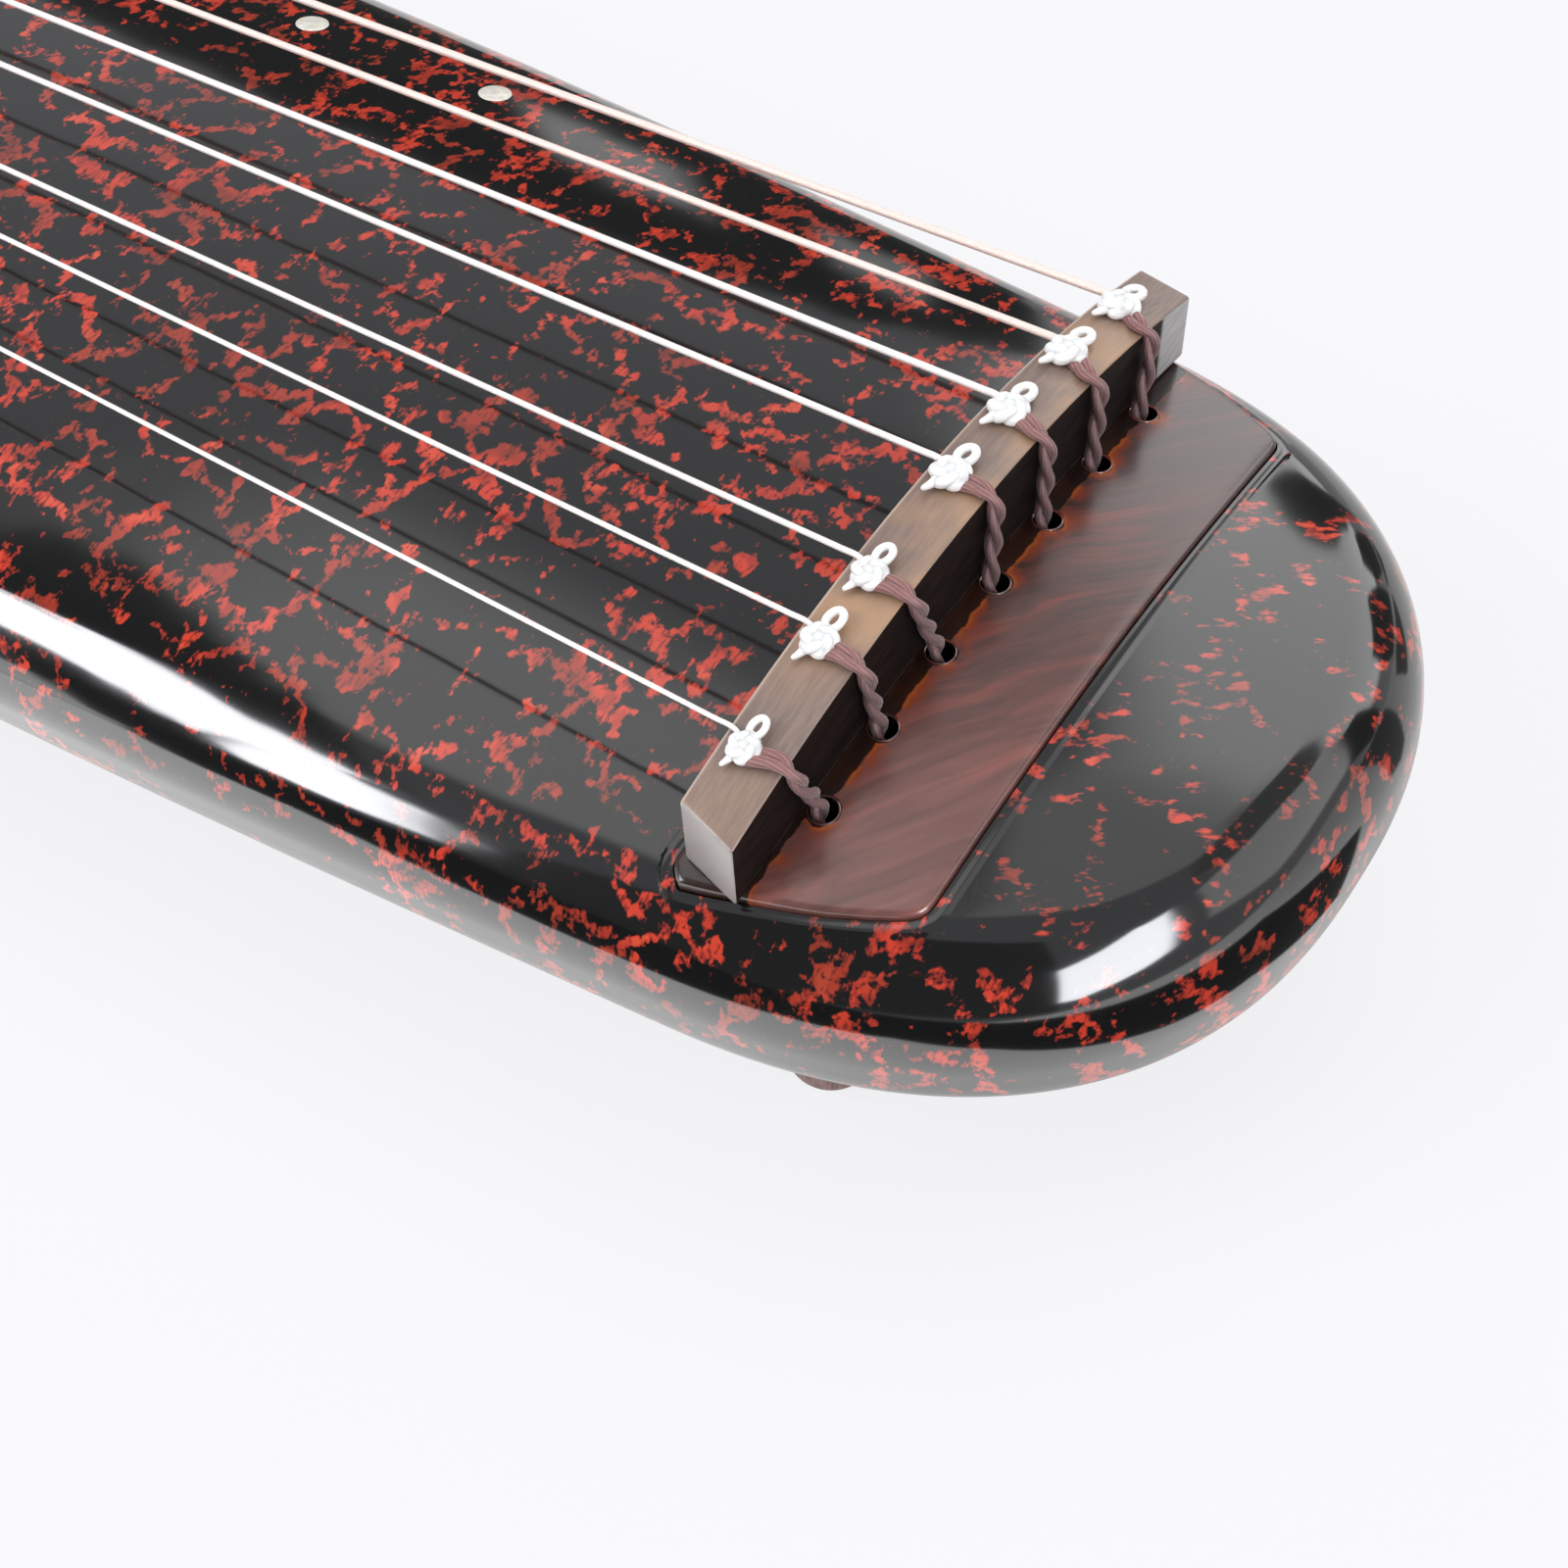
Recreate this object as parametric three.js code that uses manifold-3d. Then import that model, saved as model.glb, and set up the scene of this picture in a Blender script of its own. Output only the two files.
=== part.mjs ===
// Seven-string zither with a round head and no notches in its sides, in millimetres.
// X runs along the strings with the head at +X, Y points to the row of studs, Z is up.
// The origin is on the surface that the instrument stands on, below the middle of its outline.

import * as THREE from 'three';
import { mergeVertices } from 'three/addons/utils/BufferGeometryUtils.js';
import Module from 'manifold-3d';

// General clearances
const seatGap = 0.3;
const overrun = 5;

// Body, measured from the bridge's inner edge and from the surface that it stands on
const speakingLength = 1120;
const headReach = 81;
const headHalfWidth = 80;
const shoulderHalfWidth = 95;
const shoulderSetback = 250;
const tailHalfWidth = 66;
const tailRounding = 30;
const standHeight = 35;
const bodyDepth = 41;
const archRadius = 332;
const sideHeight = 14.4;
const upperRounding = 15.3;
const lowerRounding = 14.4;
const tailUpperRounding = 6;
const tailLowerRounding = 5;
const tailBlendLength = 70;
const headFall = 3.8;
const headFallPower = 1.5;
const headRoundness = 2.42;
const tailRoundness = 3.2;

// Boards
const bottomBoardThickness = 10;
const soundboardThickness = 11;
const rimWidth = 14;
const headBlockLength = 42;
const tailBlockLength = 78;
const cavityFlatShares = [1, 0.72, 0.42, 0.14];
const ceilingLumpDepth = 5;
const ceilingLumpMargin = 14;

// Sound holes in the bottom board, as shares of the speaking length and real sizes
const longHoleShare = 0.37;
const longHoleLength = 210;
const shortHoleShare = 0.81;
const shortHoleLength = 110;
const soundHoleWidth = 27;

// Posts between the boards
const roundPostShare = 0.234;
const roundPostRadius = 8;
const squarePostShare = 0.545;
const squarePostWidth = 15;

// Bridge
const bridgeThickness = 11.1;
const bridgeCrown = 18.2;
const bridgeTopRadius = 222;
const bridgeHalfLength = 69;
const bridgeEndSlant = 3;
const bridgeBevel = 0.8;

// Strip in front of the bridge, with the seven cord holes
const stripWidth = 35.6;
const stripLap = 1.4;
const stripHalfLength = 69.5;
const stripThickness = 12;
const stripProud = 1.2;
const stripBevel = 0.8;
const stripOutlineShares = [
  [0, 1], [0.3, 1], [0.56, 1], [0.78, 1], [0.825, 0.96], [0.86, 0.85],
  [0.912, 0.63], [0.952, 0.4], [0.985, 0.18], [1, 0.06],
];

// Pegs and the recess that they sit in
const pegSetback = 13.6;
const pegSpacing = 16.5;
const cordHoleRadius = 2.3;
const pegRadius = 7.8;
const pegShoulderRadius = 6.2;
const pegNeckRadius = 4.4;
const pegBoreRadius = 1.9;
const pegSideHoleRadius = 1.3;
const pegFloorGap = 5.5;
const pegNeckLength = 10.5;
const pegShoulderLength = 4;
const pegTipRounding = 3;
const pegTipShares = [0.55, 0.87];
const pegWaistShare = 0.94;
const pegRecessWidth = 28;
const pegRecessHalfLength = 59;
const pegRecessDepth = 18;
const pegPlateThickness = 4;

// Strings, from the thick first one on the stud side to the thin seventh one
const stringRadii = [0.75, 0.68, 0.62, 0.56, 0.5, 0.45, 0.4];
const stringSpan = 111;
const stringShift = 2.3;
const stringPlaceShares = [1, 0.674, 0.333, 0.017, -0.399, -0.645, -1];
const nutSpacingShare = 0.5715;
const stringSelfGap = 0.6;
const stringTurns = 2;
const farStrings = 4;
const knotSetback = 4.4;
const knotShift = 2.4;
const knotHalfWidth = 3.1;
const knotHalfHeight = 1.7;
const knotLoopRadius = 2.3;
const knotLoopWire = 0.7;
const knotLoopReach = 5.4;

// Cords between the knots and the pegs, and the windings on the pegs
const cordRadius = 1.25;
const cordCrossShares = [0.58, 0.79, 0.9, 0, 0, -0.1, 0.1];
const windingRadius = 0.95;
const windingSelfGap = 0.6;
const windingTurns = 2;

// Studs inlaid beside the first string, with their places as shares of the speaking length
const studPlaceShares = [
  1 / 8, 1 / 6, 1 / 5, 1 / 4, 1 / 3, 2 / 5, 1 / 2, 3 / 5, 2 / 3, 3 / 4, 4 / 5, 5 / 6, 7 / 8,
];
const studOffset = 12.8;
const studSmallRadius = 4;
const studLargeRadius = 5.6;
const studThickness = 1.2;

// Tail fittings
const nutThickness = 18;
const nutRise = 3.2;
const nutRounding = 6;
const nutMargin = 6;
const nutProud = 0.8;
const tailLedgeDepth = 11;
const tailPanelReach = 42;
const tailPanelHalfWidth = 46;
const tailHornReach = 30;
const tailHornRise = 3;
const tailSupportThickness = 12;
const tailSupportProud = 2.5;
const tailSupportRounding = 6;

// Feet and their sockets
const footShare = 0.705;
const footSpacing = 94;
const footNeckRadius = 8.5;
const footBaseRadius = 12.5;
const footCollarHeight = 1.2;
const footBaseBevel = 1.5;
const footTenonWidth = 11;
const footTenonLength = 15;
const footSocketWidth = 30;
const footSocketHeight = 21;

// Guards that keep the pegs off the table
const guardSetback = 40;
const guardSpacing = 52;
const guardThickness = 10;
const guardTopWidth = 21;
const guardFootWidth = 14;
const guardTenonWidth = 12;
const guardTenonThickness = 6;
const guardTenonLength = 7;

// Facets
const headStations = 7;
const tailStations = 6;
const neckStations = 3;
const bellyStations = 6;
const holeSides = 8;
const pegSides = 12;
const footSides = 8;
const studSides = 10;
const tubeSides = 6;
const topRowShares = [0.7, 0.36];
const bridgeStations = 12;
const nutStations = 8;
const cornerSteps = 3;
const guardCurveSteps = 6;
const knotSides = 8;
const knotRows = 5;
const knotLoopSides = 4;
const knotLoopSteps = 10;
const loopSteps = 16;
const windingSteps = 14;
const windingSides = 5;

// Places that follow from the sizes above
const nutOuterRun = nutThickness + seatGap + 2 * stringRadii[0];
const overallLength = headReach + speakingLength + nutOuterRun;
const headTipX = overallLength / 2;
const bridgeX = headTipX - headReach;
const nutX = bridgeX - speakingLength;
const nutOuterX = nutX - nutThickness;
const tailTipX = nutOuterX + nutProud;
const bottomZ = standHeight;
const topZ = standHeight + bodyDepth;
const sideZ = bottomZ + sideHeight;
const seamZ = bottomZ + bottomBoardThickness;
const ledgeZ = topZ - tailLedgeDepth;
const pegX = bridgeX + pegSetback;
const recessCeilingZ = bottomZ + pegRecessDepth;
const plateBottomZ = recessCeilingZ - pegPlateThickness;
const stripBottomZ = topZ - stripThickness;
const stripOuterX = bridgeX + stripWidth;
const nutHalfWidth = stringSpan * nutSpacingShare / 2 + nutMargin;

const wasm = await Module();
wasm.setup();

const materials = {
  lacquer: { color: 0x1c1e20, roughness: 0.12, metalness: 0 },
  rosewood: { color: 0x4a2420, roughness: 0.3, metalness: 0 },
  darkwood: { color: 0x6d5a50, roughness: 0.45, metalness: 0 },
  shell: { color: 0xe9e6dc, roughness: 0.25, metalness: 0 },
  string: { color: 0xf2ece8, roughness: 0.4, metalness: 0 },
  cord: { color: 0x5b3434, roughness: 0.85, metalness: 0 },
  bare_wood: { color: 0xb28a5c, roughness: 0.8, metalness: 0 },
};

const part = new THREE.Group();

// Turns a closed triangle mesh into a solid, with its faces pointing out
function solidFrom(geometry) {
  const bare = geometry.index ? geometry.toNonIndexed() : geometry.clone();
  bare.deleteAttribute('normal');
  bare.deleteAttribute('uv');
  const merged = mergeVertices(bare);
  const place = merged.attributes.position;
  const corners = [new THREE.Vector3(), new THREE.Vector3(), new THREE.Vector3()];
  const kept = [];
  let volume = 0;
  for (let i = 0; i < merged.index.count; i += 3) {
    const triangle = [0, 1, 2].map((k) => merged.index.getX(i + k));
    if (new Set(triangle).size === 3) {
      corners.forEach((corner, k) => corner.fromBufferAttribute(place, triangle[k]));
      volume += corners[0].dot(corners[1].clone().cross(corners[2]));
      kept.push(triangle);
    }
  }
  const faces = volume < 0 ? kept.map(([a, b, c]) => [a, c, b]) : kept;
  return new wasm.Manifold(new wasm.Mesh({
    numProp: 3,
    vertProperties: new Float32Array(place.array),
    triVerts: new Uint32Array(faces.flat()),
  }));
}

// Turns a solid back into a three.js geometry
function geometryFrom(solid) {
  const mesh = solid.getMesh();
  const geometry = new THREE.BufferGeometry();
  geometry.setAttribute('position', new THREE.BufferAttribute(mesh.vertProperties, mesh.numProp));
  geometry.setIndex(new THREE.BufferAttribute(mesh.triVerts, 1));
  geometry.computeVertexNormals();
  return geometry;
}

function addPiece(name, solid, material) {
  const mesh = new THREE.Mesh(geometryFrom(solid), new THREE.MeshStandardMaterial(materials[material]));
  mesh.name = name;
  part.add(mesh);
}

// A skin through sections with the same number of points, each a closed loop of corners.
// A flat first or last section gets a fan from its middle; a pinched one closes by itself.
function loft(sections, caps = [true, true]) {
  const count = sections[0].length;
  const points = [];
  const triangle = (a, b, c) => points.push(...a, ...b, ...c);
  for (let i = 0; i + 1 < sections.length; i += 1) {
    for (let j = 0; j < count; j += 1) {
      const k = (j + 1) % count;
      triangle(sections[i][j], sections[i + 1][j], sections[i + 1][k]);
      triangle(sections[i][j], sections[i + 1][k], sections[i][k]);
    }
  }
  const fan = (section, turned) => {
    const middle = [0, 1, 2].map((axis) => section.reduce((sum, p) => sum + p[axis], 0) / count);
    section.forEach((corner, j) => {
      const next = section[(j + 1) % count];
      if (turned) triangle(middle, next, corner);
      else triangle(middle, corner, next);
    });
  };
  if (caps[0]) fan(sections[0], false);
  if (caps[1]) fan(sections[sections.length - 1], true);
  const geometry = new THREE.BufferGeometry();
  geometry.setAttribute('position', new THREE.Float32BufferAttribute(points, 3));
  return solidFrom(geometry);
}

function block(lowX, highX, lowY, highY, lowZ, highZ) {
  const geometry = new THREE.BoxGeometry(highX - lowX, highY - lowY, highZ - lowZ);
  geometry.translate((lowX + highX) / 2, (lowY + highY) / 2, (lowZ + highZ) / 2);
  return solidFrom(geometry);
}

function uprightCylinder(x, y, lowZ, highZ, radius, sides) {
  const geometry = new THREE.CylinderGeometry(radius, radius, highZ - lowZ, sides);
  geometry.rotateX(Math.PI / 2);
  geometry.translate(x, y, (lowZ + highZ) / 2);
  return solidFrom(geometry);
}

// A route that an extrusion follows exactly from point to point
class Route extends THREE.Curve {
  constructor(points) {
    super();
    this.points = points;
  }

  getPoint(share, target = new THREE.Vector3()) {
    const place = share * (this.points.length - 1);
    const index = Math.min(Math.floor(place), this.points.length - 2);
    return target.copy(this.points[index]).lerp(this.points[index + 1], place - index);
  }

  getPointAt(share, target) {
    return this.getPoint(share, target);
  }

  getTangentAt(share, target = new THREE.Vector3()) {
    const last = this.points.length - 1;
    const index = Math.round(share * last);
    const before = this.points[Math.max(index - 1, 0)];
    const here = this.points[index];
    const after = this.points[Math.min(index + 1, last)];
    const arriving = here.clone().sub(before).normalize();
    const leaving = after.clone().sub(here).normalize();
    return target.copy(arriving).add(leaving).normalize();
  }
}

// A round tube with closed ends along a list of points
function tube(points, radius, sides) {
  const section = Array.from({ length: sides }, (_, i) => new THREE.Vector2(
    radius * Math.cos(2 * Math.PI * i / sides),
    radius * Math.sin(2 * Math.PI * i / sides),
  ));
  return solidFrom(new THREE.ExtrudeGeometry(new THREE.Shape(section), {
    steps: points.length - 1,
    extrudePath: new Route(points),
  }));
}

// Half the body's width at a distance x, before its ends are rounded off
function sideHalfWidth(x) {
  const run = bridgeX - x;
  if (run < shoulderSetback) {
    const rise = Math.sin(Math.PI / 2 * run / shoulderSetback);
    return headHalfWidth + (shoulderHalfWidth - headHalfWidth) * rise;
  }
  const share = (run - shoulderSetback) / (bridgeX - shoulderSetback - tailTipX);
  return tailHalfWidth + (shoulderHalfWidth - tailHalfWidth) * Math.cos(Math.PI / 2 * Math.min(share, 1));
}

// The stud side of the body's outline, from the tip of the tail to the tip of the head
function bodyOutline() {
  const outline = [];
  for (let i = 0; i < tailStations; i += 1) {
    const angle = Math.PI / 2 * i / tailStations;
    const x = tailTipX + tailRounding * (1 - Math.cos(angle) ** (2 / tailRoundness));
    outline.push([x, sideHalfWidth(x) * Math.sin(angle) ** (2 / tailRoundness)]);
  }
  const bellyStart = tailTipX + tailRounding;
  const shoulderX = bridgeX - shoulderSetback;
  for (let i = 0; i < bellyStations; i += 1) {
    const x = bellyStart + (shoulderX - bellyStart) * i / bellyStations;
    outline.push([x, sideHalfWidth(x)]);
  }
  for (let i = 0; i < neckStations; i += 1) {
    const x = shoulderX + shoulderSetback * i / neckStations;
    outline.push([x, sideHalfWidth(x)]);
  }
  for (let i = 0; i <= headStations; i += 1) {
    const angle = Math.PI / 2 * i / headStations;
    const x = bridgeX + headReach * Math.sin(angle) ** (2 / headRoundness);
    const end = i === headStations ? 0 : Math.cos(angle) ** (2 / headRoundness);
    outline.push([x, sideHalfWidth(x) * end]);
  }
  return outline;
}

// The direction square to the outline at each of its points
function outlineNormals(outline) {
  return outline.map((point, i) => {
    const mirrored = ([x, y]) => [x, -y];
    const before = i > 0 ? outline[i - 1] : mirrored(outline[1]);
    const after = i + 1 < outline.length ? outline[i + 1] : mirrored(outline[i - 1]);
    return new THREE.Vector2(before[1] - after[1], after[0] - before[0]).normalize();
  });
}

// Height of the arched top, falling a little towards the head's tip
function surfaceZ(x, y) {
  const beyond = Math.max(x - stripOuterX, 0) / (headTipX - stripOuterX);
  return topZ - y * y / (2 * archRadius) - headFall * beyond ** headFallPower;
}

// The whole body as one solid: side, rounded edges, arched top and flat underside.
// raise lifts the top, as the horns on the tail need.
function bodySolid(raise) {
  const outline = bodyOutline();
  const normals = outlineNormals(outline);
  const sections = outline.map(([x, y], i) => {
    const along = Math.min((x - tailTipX) / tailBlendLength, 1);
    const upper = tailUpperRounding + (upperRounding - tailUpperRounding) * along;
    const lower = tailLowerRounding + (lowerRounding - tailLowerRounding) * along;
    const shoulderZ = surfaceZ(x, y) + raise;
    const ring = [];
    const edge = (inset, z) => ring.push([x - normals[i].x * inset, y - normals[i].y * inset, z]);
    for (const angle of [Math.PI / 2, Math.PI / 4, 0]) {
      edge(lower * (1 - Math.cos(angle)), sideZ - sideHeight * Math.sin(angle));
    }
    for (const angle of [Math.PI / 6, Math.PI / 3, Math.PI / 2]) {
      const inset = upper * (1 - Math.cos(angle));
      const innerX = x - normals[i].x * inset;
      const innerY = y - normals[i].y * inset;
      edge(inset, surfaceZ(innerX, innerY) + raise - (shoulderZ - sideZ) * (1 - Math.sin(angle)));
    }
    const inner = ring[ring.length - 1];
    for (const share of topRowShares) {
      ring.push([inner[0], inner[1] * share, surfaceZ(inner[0], inner[1] * share) + raise]);
    }
    const mirrored = ring.map(([px, py, pz]) => [px, -py, pz]).reverse();
    const middle = [inner[0], 0, surfaceZ(inner[0], 0) + raise];
    return [...ring, middle, ...mirrored, [ring[0][0], 0, bottomZ]];
  });
  return loft(sections, [false, false]);
}

// The hollow between the boards, open below, with two lumps left opposite the sound holes
function cavitySolid() {
  const lowX = tailTipX + tailBlockLength;
  const highX = bridgeX - headBlockLength;
  const stations = bellyStations + neckStations;
  const sections = [];
  for (let i = 0; i <= stations; i += 1) {
    const x = lowX + (highX - lowX) * i / stations;
    const half = sideHalfWidth(x) - rimWidth;
    const roof = cavityFlatShares.map((share) => {
      const y = half * share;
      return [x, y, surfaceZ(x, y) - soundboardThickness];
    });
    const right = [[x, half, seamZ - overrun], ...roof];
    sections.push([...right, ...right.map(([px, py, pz]) => [px, -py, pz]).reverse()]);
  }
  let cavity = loft(sections);
  for (const [share, length] of [[longHoleShare, longHoleLength], [shortHoleShare, shortHoleLength]]) {
    const middleX = bridgeX - speakingLength * share;
    const reach = length / 2 + ceilingLumpMargin;
    const half = soundHoleWidth / 2 + ceilingLumpMargin;
    const lowZ = topZ - soundboardThickness - ceilingLumpDepth;
    cavity = cavity.subtract(block(middleX - reach, middleX + reach, -half, half, lowZ, topZ));
  }
  return cavity;
}

// A slot with round ends, cut upwards through a board
function roundEndedSlot(middleX, length, width, lowZ, highZ) {
  const shape = new THREE.Shape();
  const straight = (length - width) / 2;
  shape.absarc(straight, 0, width / 2, -Math.PI / 2, Math.PI / 2);
  shape.absarc(-straight, 0, width / 2, Math.PI / 2, 3 * Math.PI / 2);
  shape.closePath();
  const geometry = new THREE.ExtrudeGeometry(shape, {
    depth: highZ - lowZ, bevelEnabled: false, curveSegments: holeSides / 2,
  });
  geometry.translate(middleX, 0, lowZ);
  return solidFrom(geometry);
}

const pegPlaces = stringRadii.map((_, i) => pegSpacing * ((stringRadii.length - 1) / 2 - i));
const footX = bridgeX - speakingLength * footShare;
const sides = [['near', -1], ['far', 1]];

// One cut for all seven cord holes
function cordHoles(lowZ, highZ) {
  return pegPlaces
    .map((y) => uprightCylinder(pegX, y, lowZ, highZ, cordHoleRadius, holeSides))
    .reduce((all, hole) => all.add(hole));
}

// Strip with the cord holes: an arched plate with rounded outer corners.
// grow widens it all round, as its recess in the top board needs.
function stripSolid(grow) {
  const rightHalf = stripOutlineShares.map(([lengthShare, widthShare]) => {
    const y = stripHalfLength * lengthShare + (lengthShare === 1 ? grow : 0);
    const lowX = bridgeX - stripLap - grow;
    const highX = bridgeX - stripLap + (stripWidth + stripLap) * widthShare + grow;
    const z = surfaceZ(bridgeX, y) + stripProud + grow;
    return [
      [lowX, y, stripBottomZ - grow], [highX, y, stripBottomZ - grow],
      [highX, y, z - stripBevel], [highX - stripBevel, y, z], [lowX, y, z],
    ];
  });
  const leftHalf = rightHalf.slice(1).map((ring) => ring.map(([x, y, z]) => [x, -y, z])).reverse();
  return loft([...leftHalf, ...rightHalf]);
}

// Bridge: a straight bar with an arched top that stands on the strip.
// Both of its ends are cut aslant, with the inner edge further towards the studs.
function bridgeTopZ(y) {
  return topZ + bridgeCrown - y * y / (2 * bridgeTopRadius);
}

function bridgeSolid() {
  const outerX = bridgeX + bridgeThickness;
  const footZ = (y) => surfaceZ(bridgeX, y) + stripProud + seatGap;
  const bevelZ = (y) => bridgeTopZ(y) - bridgeBevel;
  const sections = [];
  for (let i = 0; i <= bridgeStations; i += 1) {
    const outerY = bridgeHalfLength * (2 * i / bridgeStations - 1);
    const corner = (x, zAt) => {
      const y = outerY + bridgeEndSlant * (outerX - x) / bridgeThickness;
      return [x, y, zAt(y)];
    };
    sections.push([
      corner(bridgeX, footZ), corner(outerX, footZ), corner(outerX, bevelZ),
      corner(outerX - bridgeBevel, bridgeTopZ), corner(bridgeX + bridgeBevel, bridgeTopZ),
      corner(bridgeX, bevelZ),
    ]);
  }
  return loft(sections);
}

// Tail nut: the bar that the strings bend over, arched across and rounded at its outer edge
function nutTopZ(y) {
  return surfaceZ(nutX, y) + nutRise;
}

function roundedBarSections(halfWidth, steps, profileAt) {
  return Array.from({ length: steps + 1 }, (_, i) => {
    const y = halfWidth * (2 * i / steps - 1);
    return profileAt(y).map(([x, z]) => [x, y, z]);
  });
}

const arcAngles = Array.from({ length: cornerSteps + 1 }, (_, i) => Math.PI / 2 * i / cornerSteps);

function nutSolid() {
  return loft(roundedBarSections(nutHalfWidth, nutStations, (y) => {
    const top = nutTopZ(y);
    const arc = arcAngles.map((angle) => [
      nutOuterX + nutRounding * (1 - Math.sin(angle)),
      top - nutRounding * (1 - Math.cos(angle)),
    ]);
    return [[nutX, ledgeZ], [nutX, top], ...arc, [nutOuterX, ledgeZ]];
  }));
}

// Support below the nut, flush with it, with a rounded lower corner for the strings
function tailSupportSolid() {
  const lowZ = bottomZ - tailSupportProud;
  return loft(roundedBarSections(nutHalfWidth, 1, () => {
    const arc = arcAngles.map((angle) => [
      nutOuterX + tailSupportRounding * (1 - Math.cos(angle)),
      lowZ + tailSupportRounding * (1 - Math.sin(angle)),
    ]);
    return [[nutOuterX, ledgeZ], ...arc, [nutOuterX + tailSupportThickness, lowZ],
      [nutOuterX + tailSupportThickness, ledgeZ]];
  }));
}

// A foot: an eight-sided post with a slim neck for the strings and a square tenon on top
function footSolid(y) {
  const lowest = windingStartZ(farStrings - 1) - stringTurns * windingPitch(farStrings - 1);
  const neckLowZ = lowest - stringRadii[farStrings - 1] - 2 * seatGap;
  const profile = [
    [0, 0], [footBaseRadius - footBaseBevel, 0], [footBaseRadius, footBaseBevel],
    [footBaseRadius, neckLowZ / 2], [footNeckRadius, neckLowZ],
    [footNeckRadius, bottomZ - seatGap - footCollarHeight],
    [footNeckRadius + footCollarHeight, bottomZ - seatGap], [0, bottomZ - seatGap],
  ].map(([r, z]) => new THREE.Vector2(r, z));
  const geometry = new THREE.LatheGeometry(profile, footSides);
  geometry.rotateX(Math.PI / 2);
  geometry.rotateZ(Math.PI / footSides);
  geometry.translate(footX, y, 0);
  const half = footTenonWidth / 2;
  const tenon = block(footX - half, footX + half, y - half, y + half,
    bottomZ - seatGap - footCollarHeight, bottomZ + footTenonLength);
  return solidFrom(geometry).add(tenon);
}

// The hardwood block in the bottom board that takes a foot's tenon
function footSocketSolid(y, grow) {
  const half = footSocketWidth / 2 + grow;
  return block(footX - half, footX + half, y - half, y + half,
    bottomZ, bottomZ + footSocketHeight + grow);
}

function footMortise(y) {
  const half = footTenonWidth / 2 + seatGap;
  return block(footX - half, footX + half, y - half, y + half,
    bottomZ - overrun, bottomZ + footTenonLength + seatGap);
}

// A guard: a tapered tongue with rounded lower corners and a tenon
function guardSolid(y) {
  const shape = new THREE.Shape();
  const top = guardTopWidth / 2;
  const foot = guardFootWidth / 2;
  shape.moveTo(-top, bottomZ - seatGap);
  shape.bezierCurveTo(-top, standHeight / 2, -top, 0, -foot, 0);
  shape.lineTo(foot, 0);
  shape.bezierCurveTo(top, 0, top, standHeight / 2, top, bottomZ - seatGap);
  shape.closePath();
  const geometry = new THREE.ExtrudeGeometry(shape, {
    depth: guardThickness, bevelEnabled: false, curveSegments: guardCurveSteps,
  });
  geometry.rotateX(Math.PI / 2);
  geometry.rotateZ(Math.PI / 2);
  geometry.translate(bridgeX + guardSetback - guardThickness / 2, y, 0);
  return solidFrom(geometry).add(guardTenon(y, 0));
}

function guardTenon(y, grow) {
  const x = bridgeX + guardSetback;
  const reachX = guardTenonThickness / 2 + grow;
  const reachY = guardTenonWidth / 2 + grow;
  return block(x - reachX, x + reachX, y - reachY, y + reachY,
    bottomZ - seatGap - guardTenonThickness / 2, bottomZ + guardTenonLength + grow);
}

// A peg: bored from above to a hole in the side of its neck, and swelling towards its rounded tip
function pegSolid(y) {
  const topOfPeg = plateBottomZ - seatGap;
  const shoulderZ = topOfPeg - pegShoulderLength;
  const neckZ = shoulderZ - pegNeckLength;
  const boreZ = shoulderZ - pegNeckLength / 2;
  const bodyLength = neckZ - pegFloorGap;
  const profile = [
    [0, pegFloorGap], [pegRadius * pegTipShares[0], pegFloorGap],
    [pegRadius * pegTipShares[1], pegFloorGap + pegTipRounding / 3],
    [pegRadius, pegFloorGap + pegTipRounding], [pegRadius * pegWaistShare, neckZ - bodyLength / 2],
    [pegShoulderRadius, neckZ], [pegNeckRadius, neckZ], [pegNeckRadius, shoulderZ],
    [pegShoulderRadius, shoulderZ], [pegShoulderRadius, topOfPeg],
    [pegBoreRadius, topOfPeg], [pegBoreRadius, boreZ], [0, boreZ],
  ].map(([r, z]) => new THREE.Vector2(r, z));
  const geometry = new THREE.LatheGeometry(profile, pegSides);
  geometry.rotateX(Math.PI / 2);
  geometry.translate(pegX, y, 0);
  const hole = new THREE.CylinderGeometry(pegSideHoleRadius, pegSideHoleRadius,
    pegNeckRadius + overrun, tubeSides);
  hole.rotateZ(Math.PI / 2);
  hole.translate(pegX + (pegNeckRadius + overrun) / 2, y, boreZ + pegSideHoleRadius);
  return solidFrom(geometry).subtract(solidFrom(hole));
}

// Turns of a helix about an upright axis, from a start angle, downwards
function coil(centre, radius, startAngle, turn, turns, pitch, steps) {
  const points = [];
  for (let i = 0; i <= turns * steps; i += 1) {
    const angle = startAngle + turn * 2 * Math.PI * i / steps;
    points.push(new THREE.Vector3(
      centre.x + radius * Math.cos(angle),
      centre.y + radius * Math.sin(angle),
      centre.z - pitch * i / steps,
    ));
  }
  return points;
}

// Runs a coil's end on in a straight line
function straightEnd(points, length) {
  const last = points[points.length - 1];
  const before = points[points.length - 2];
  const direction = last.clone().sub(before).normalize();
  return last.clone().addScaledVector(direction, length);
}

// The least gap between points of a tube that lie more than half a loop apart
function leastSelfGap(points, radius, apart) {
  let least = Infinity;
  for (let i = 0; i < points.length; i += 1) {
    for (let j = i + apart; j < points.length; j += 1) {
      least = Math.min(least, points[i].distanceTo(points[j]) - 2 * radius);
    }
  }
  return least;
}

// String places at the bridge and at the nut, measured across from the middle of the body
const stringPlaces = stringPlaceShares.map((share) => stringShift + stringSpan / 2 * share);
const nutPlaces = stringPlaces.map((y) => y * nutSpacingShare);

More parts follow.
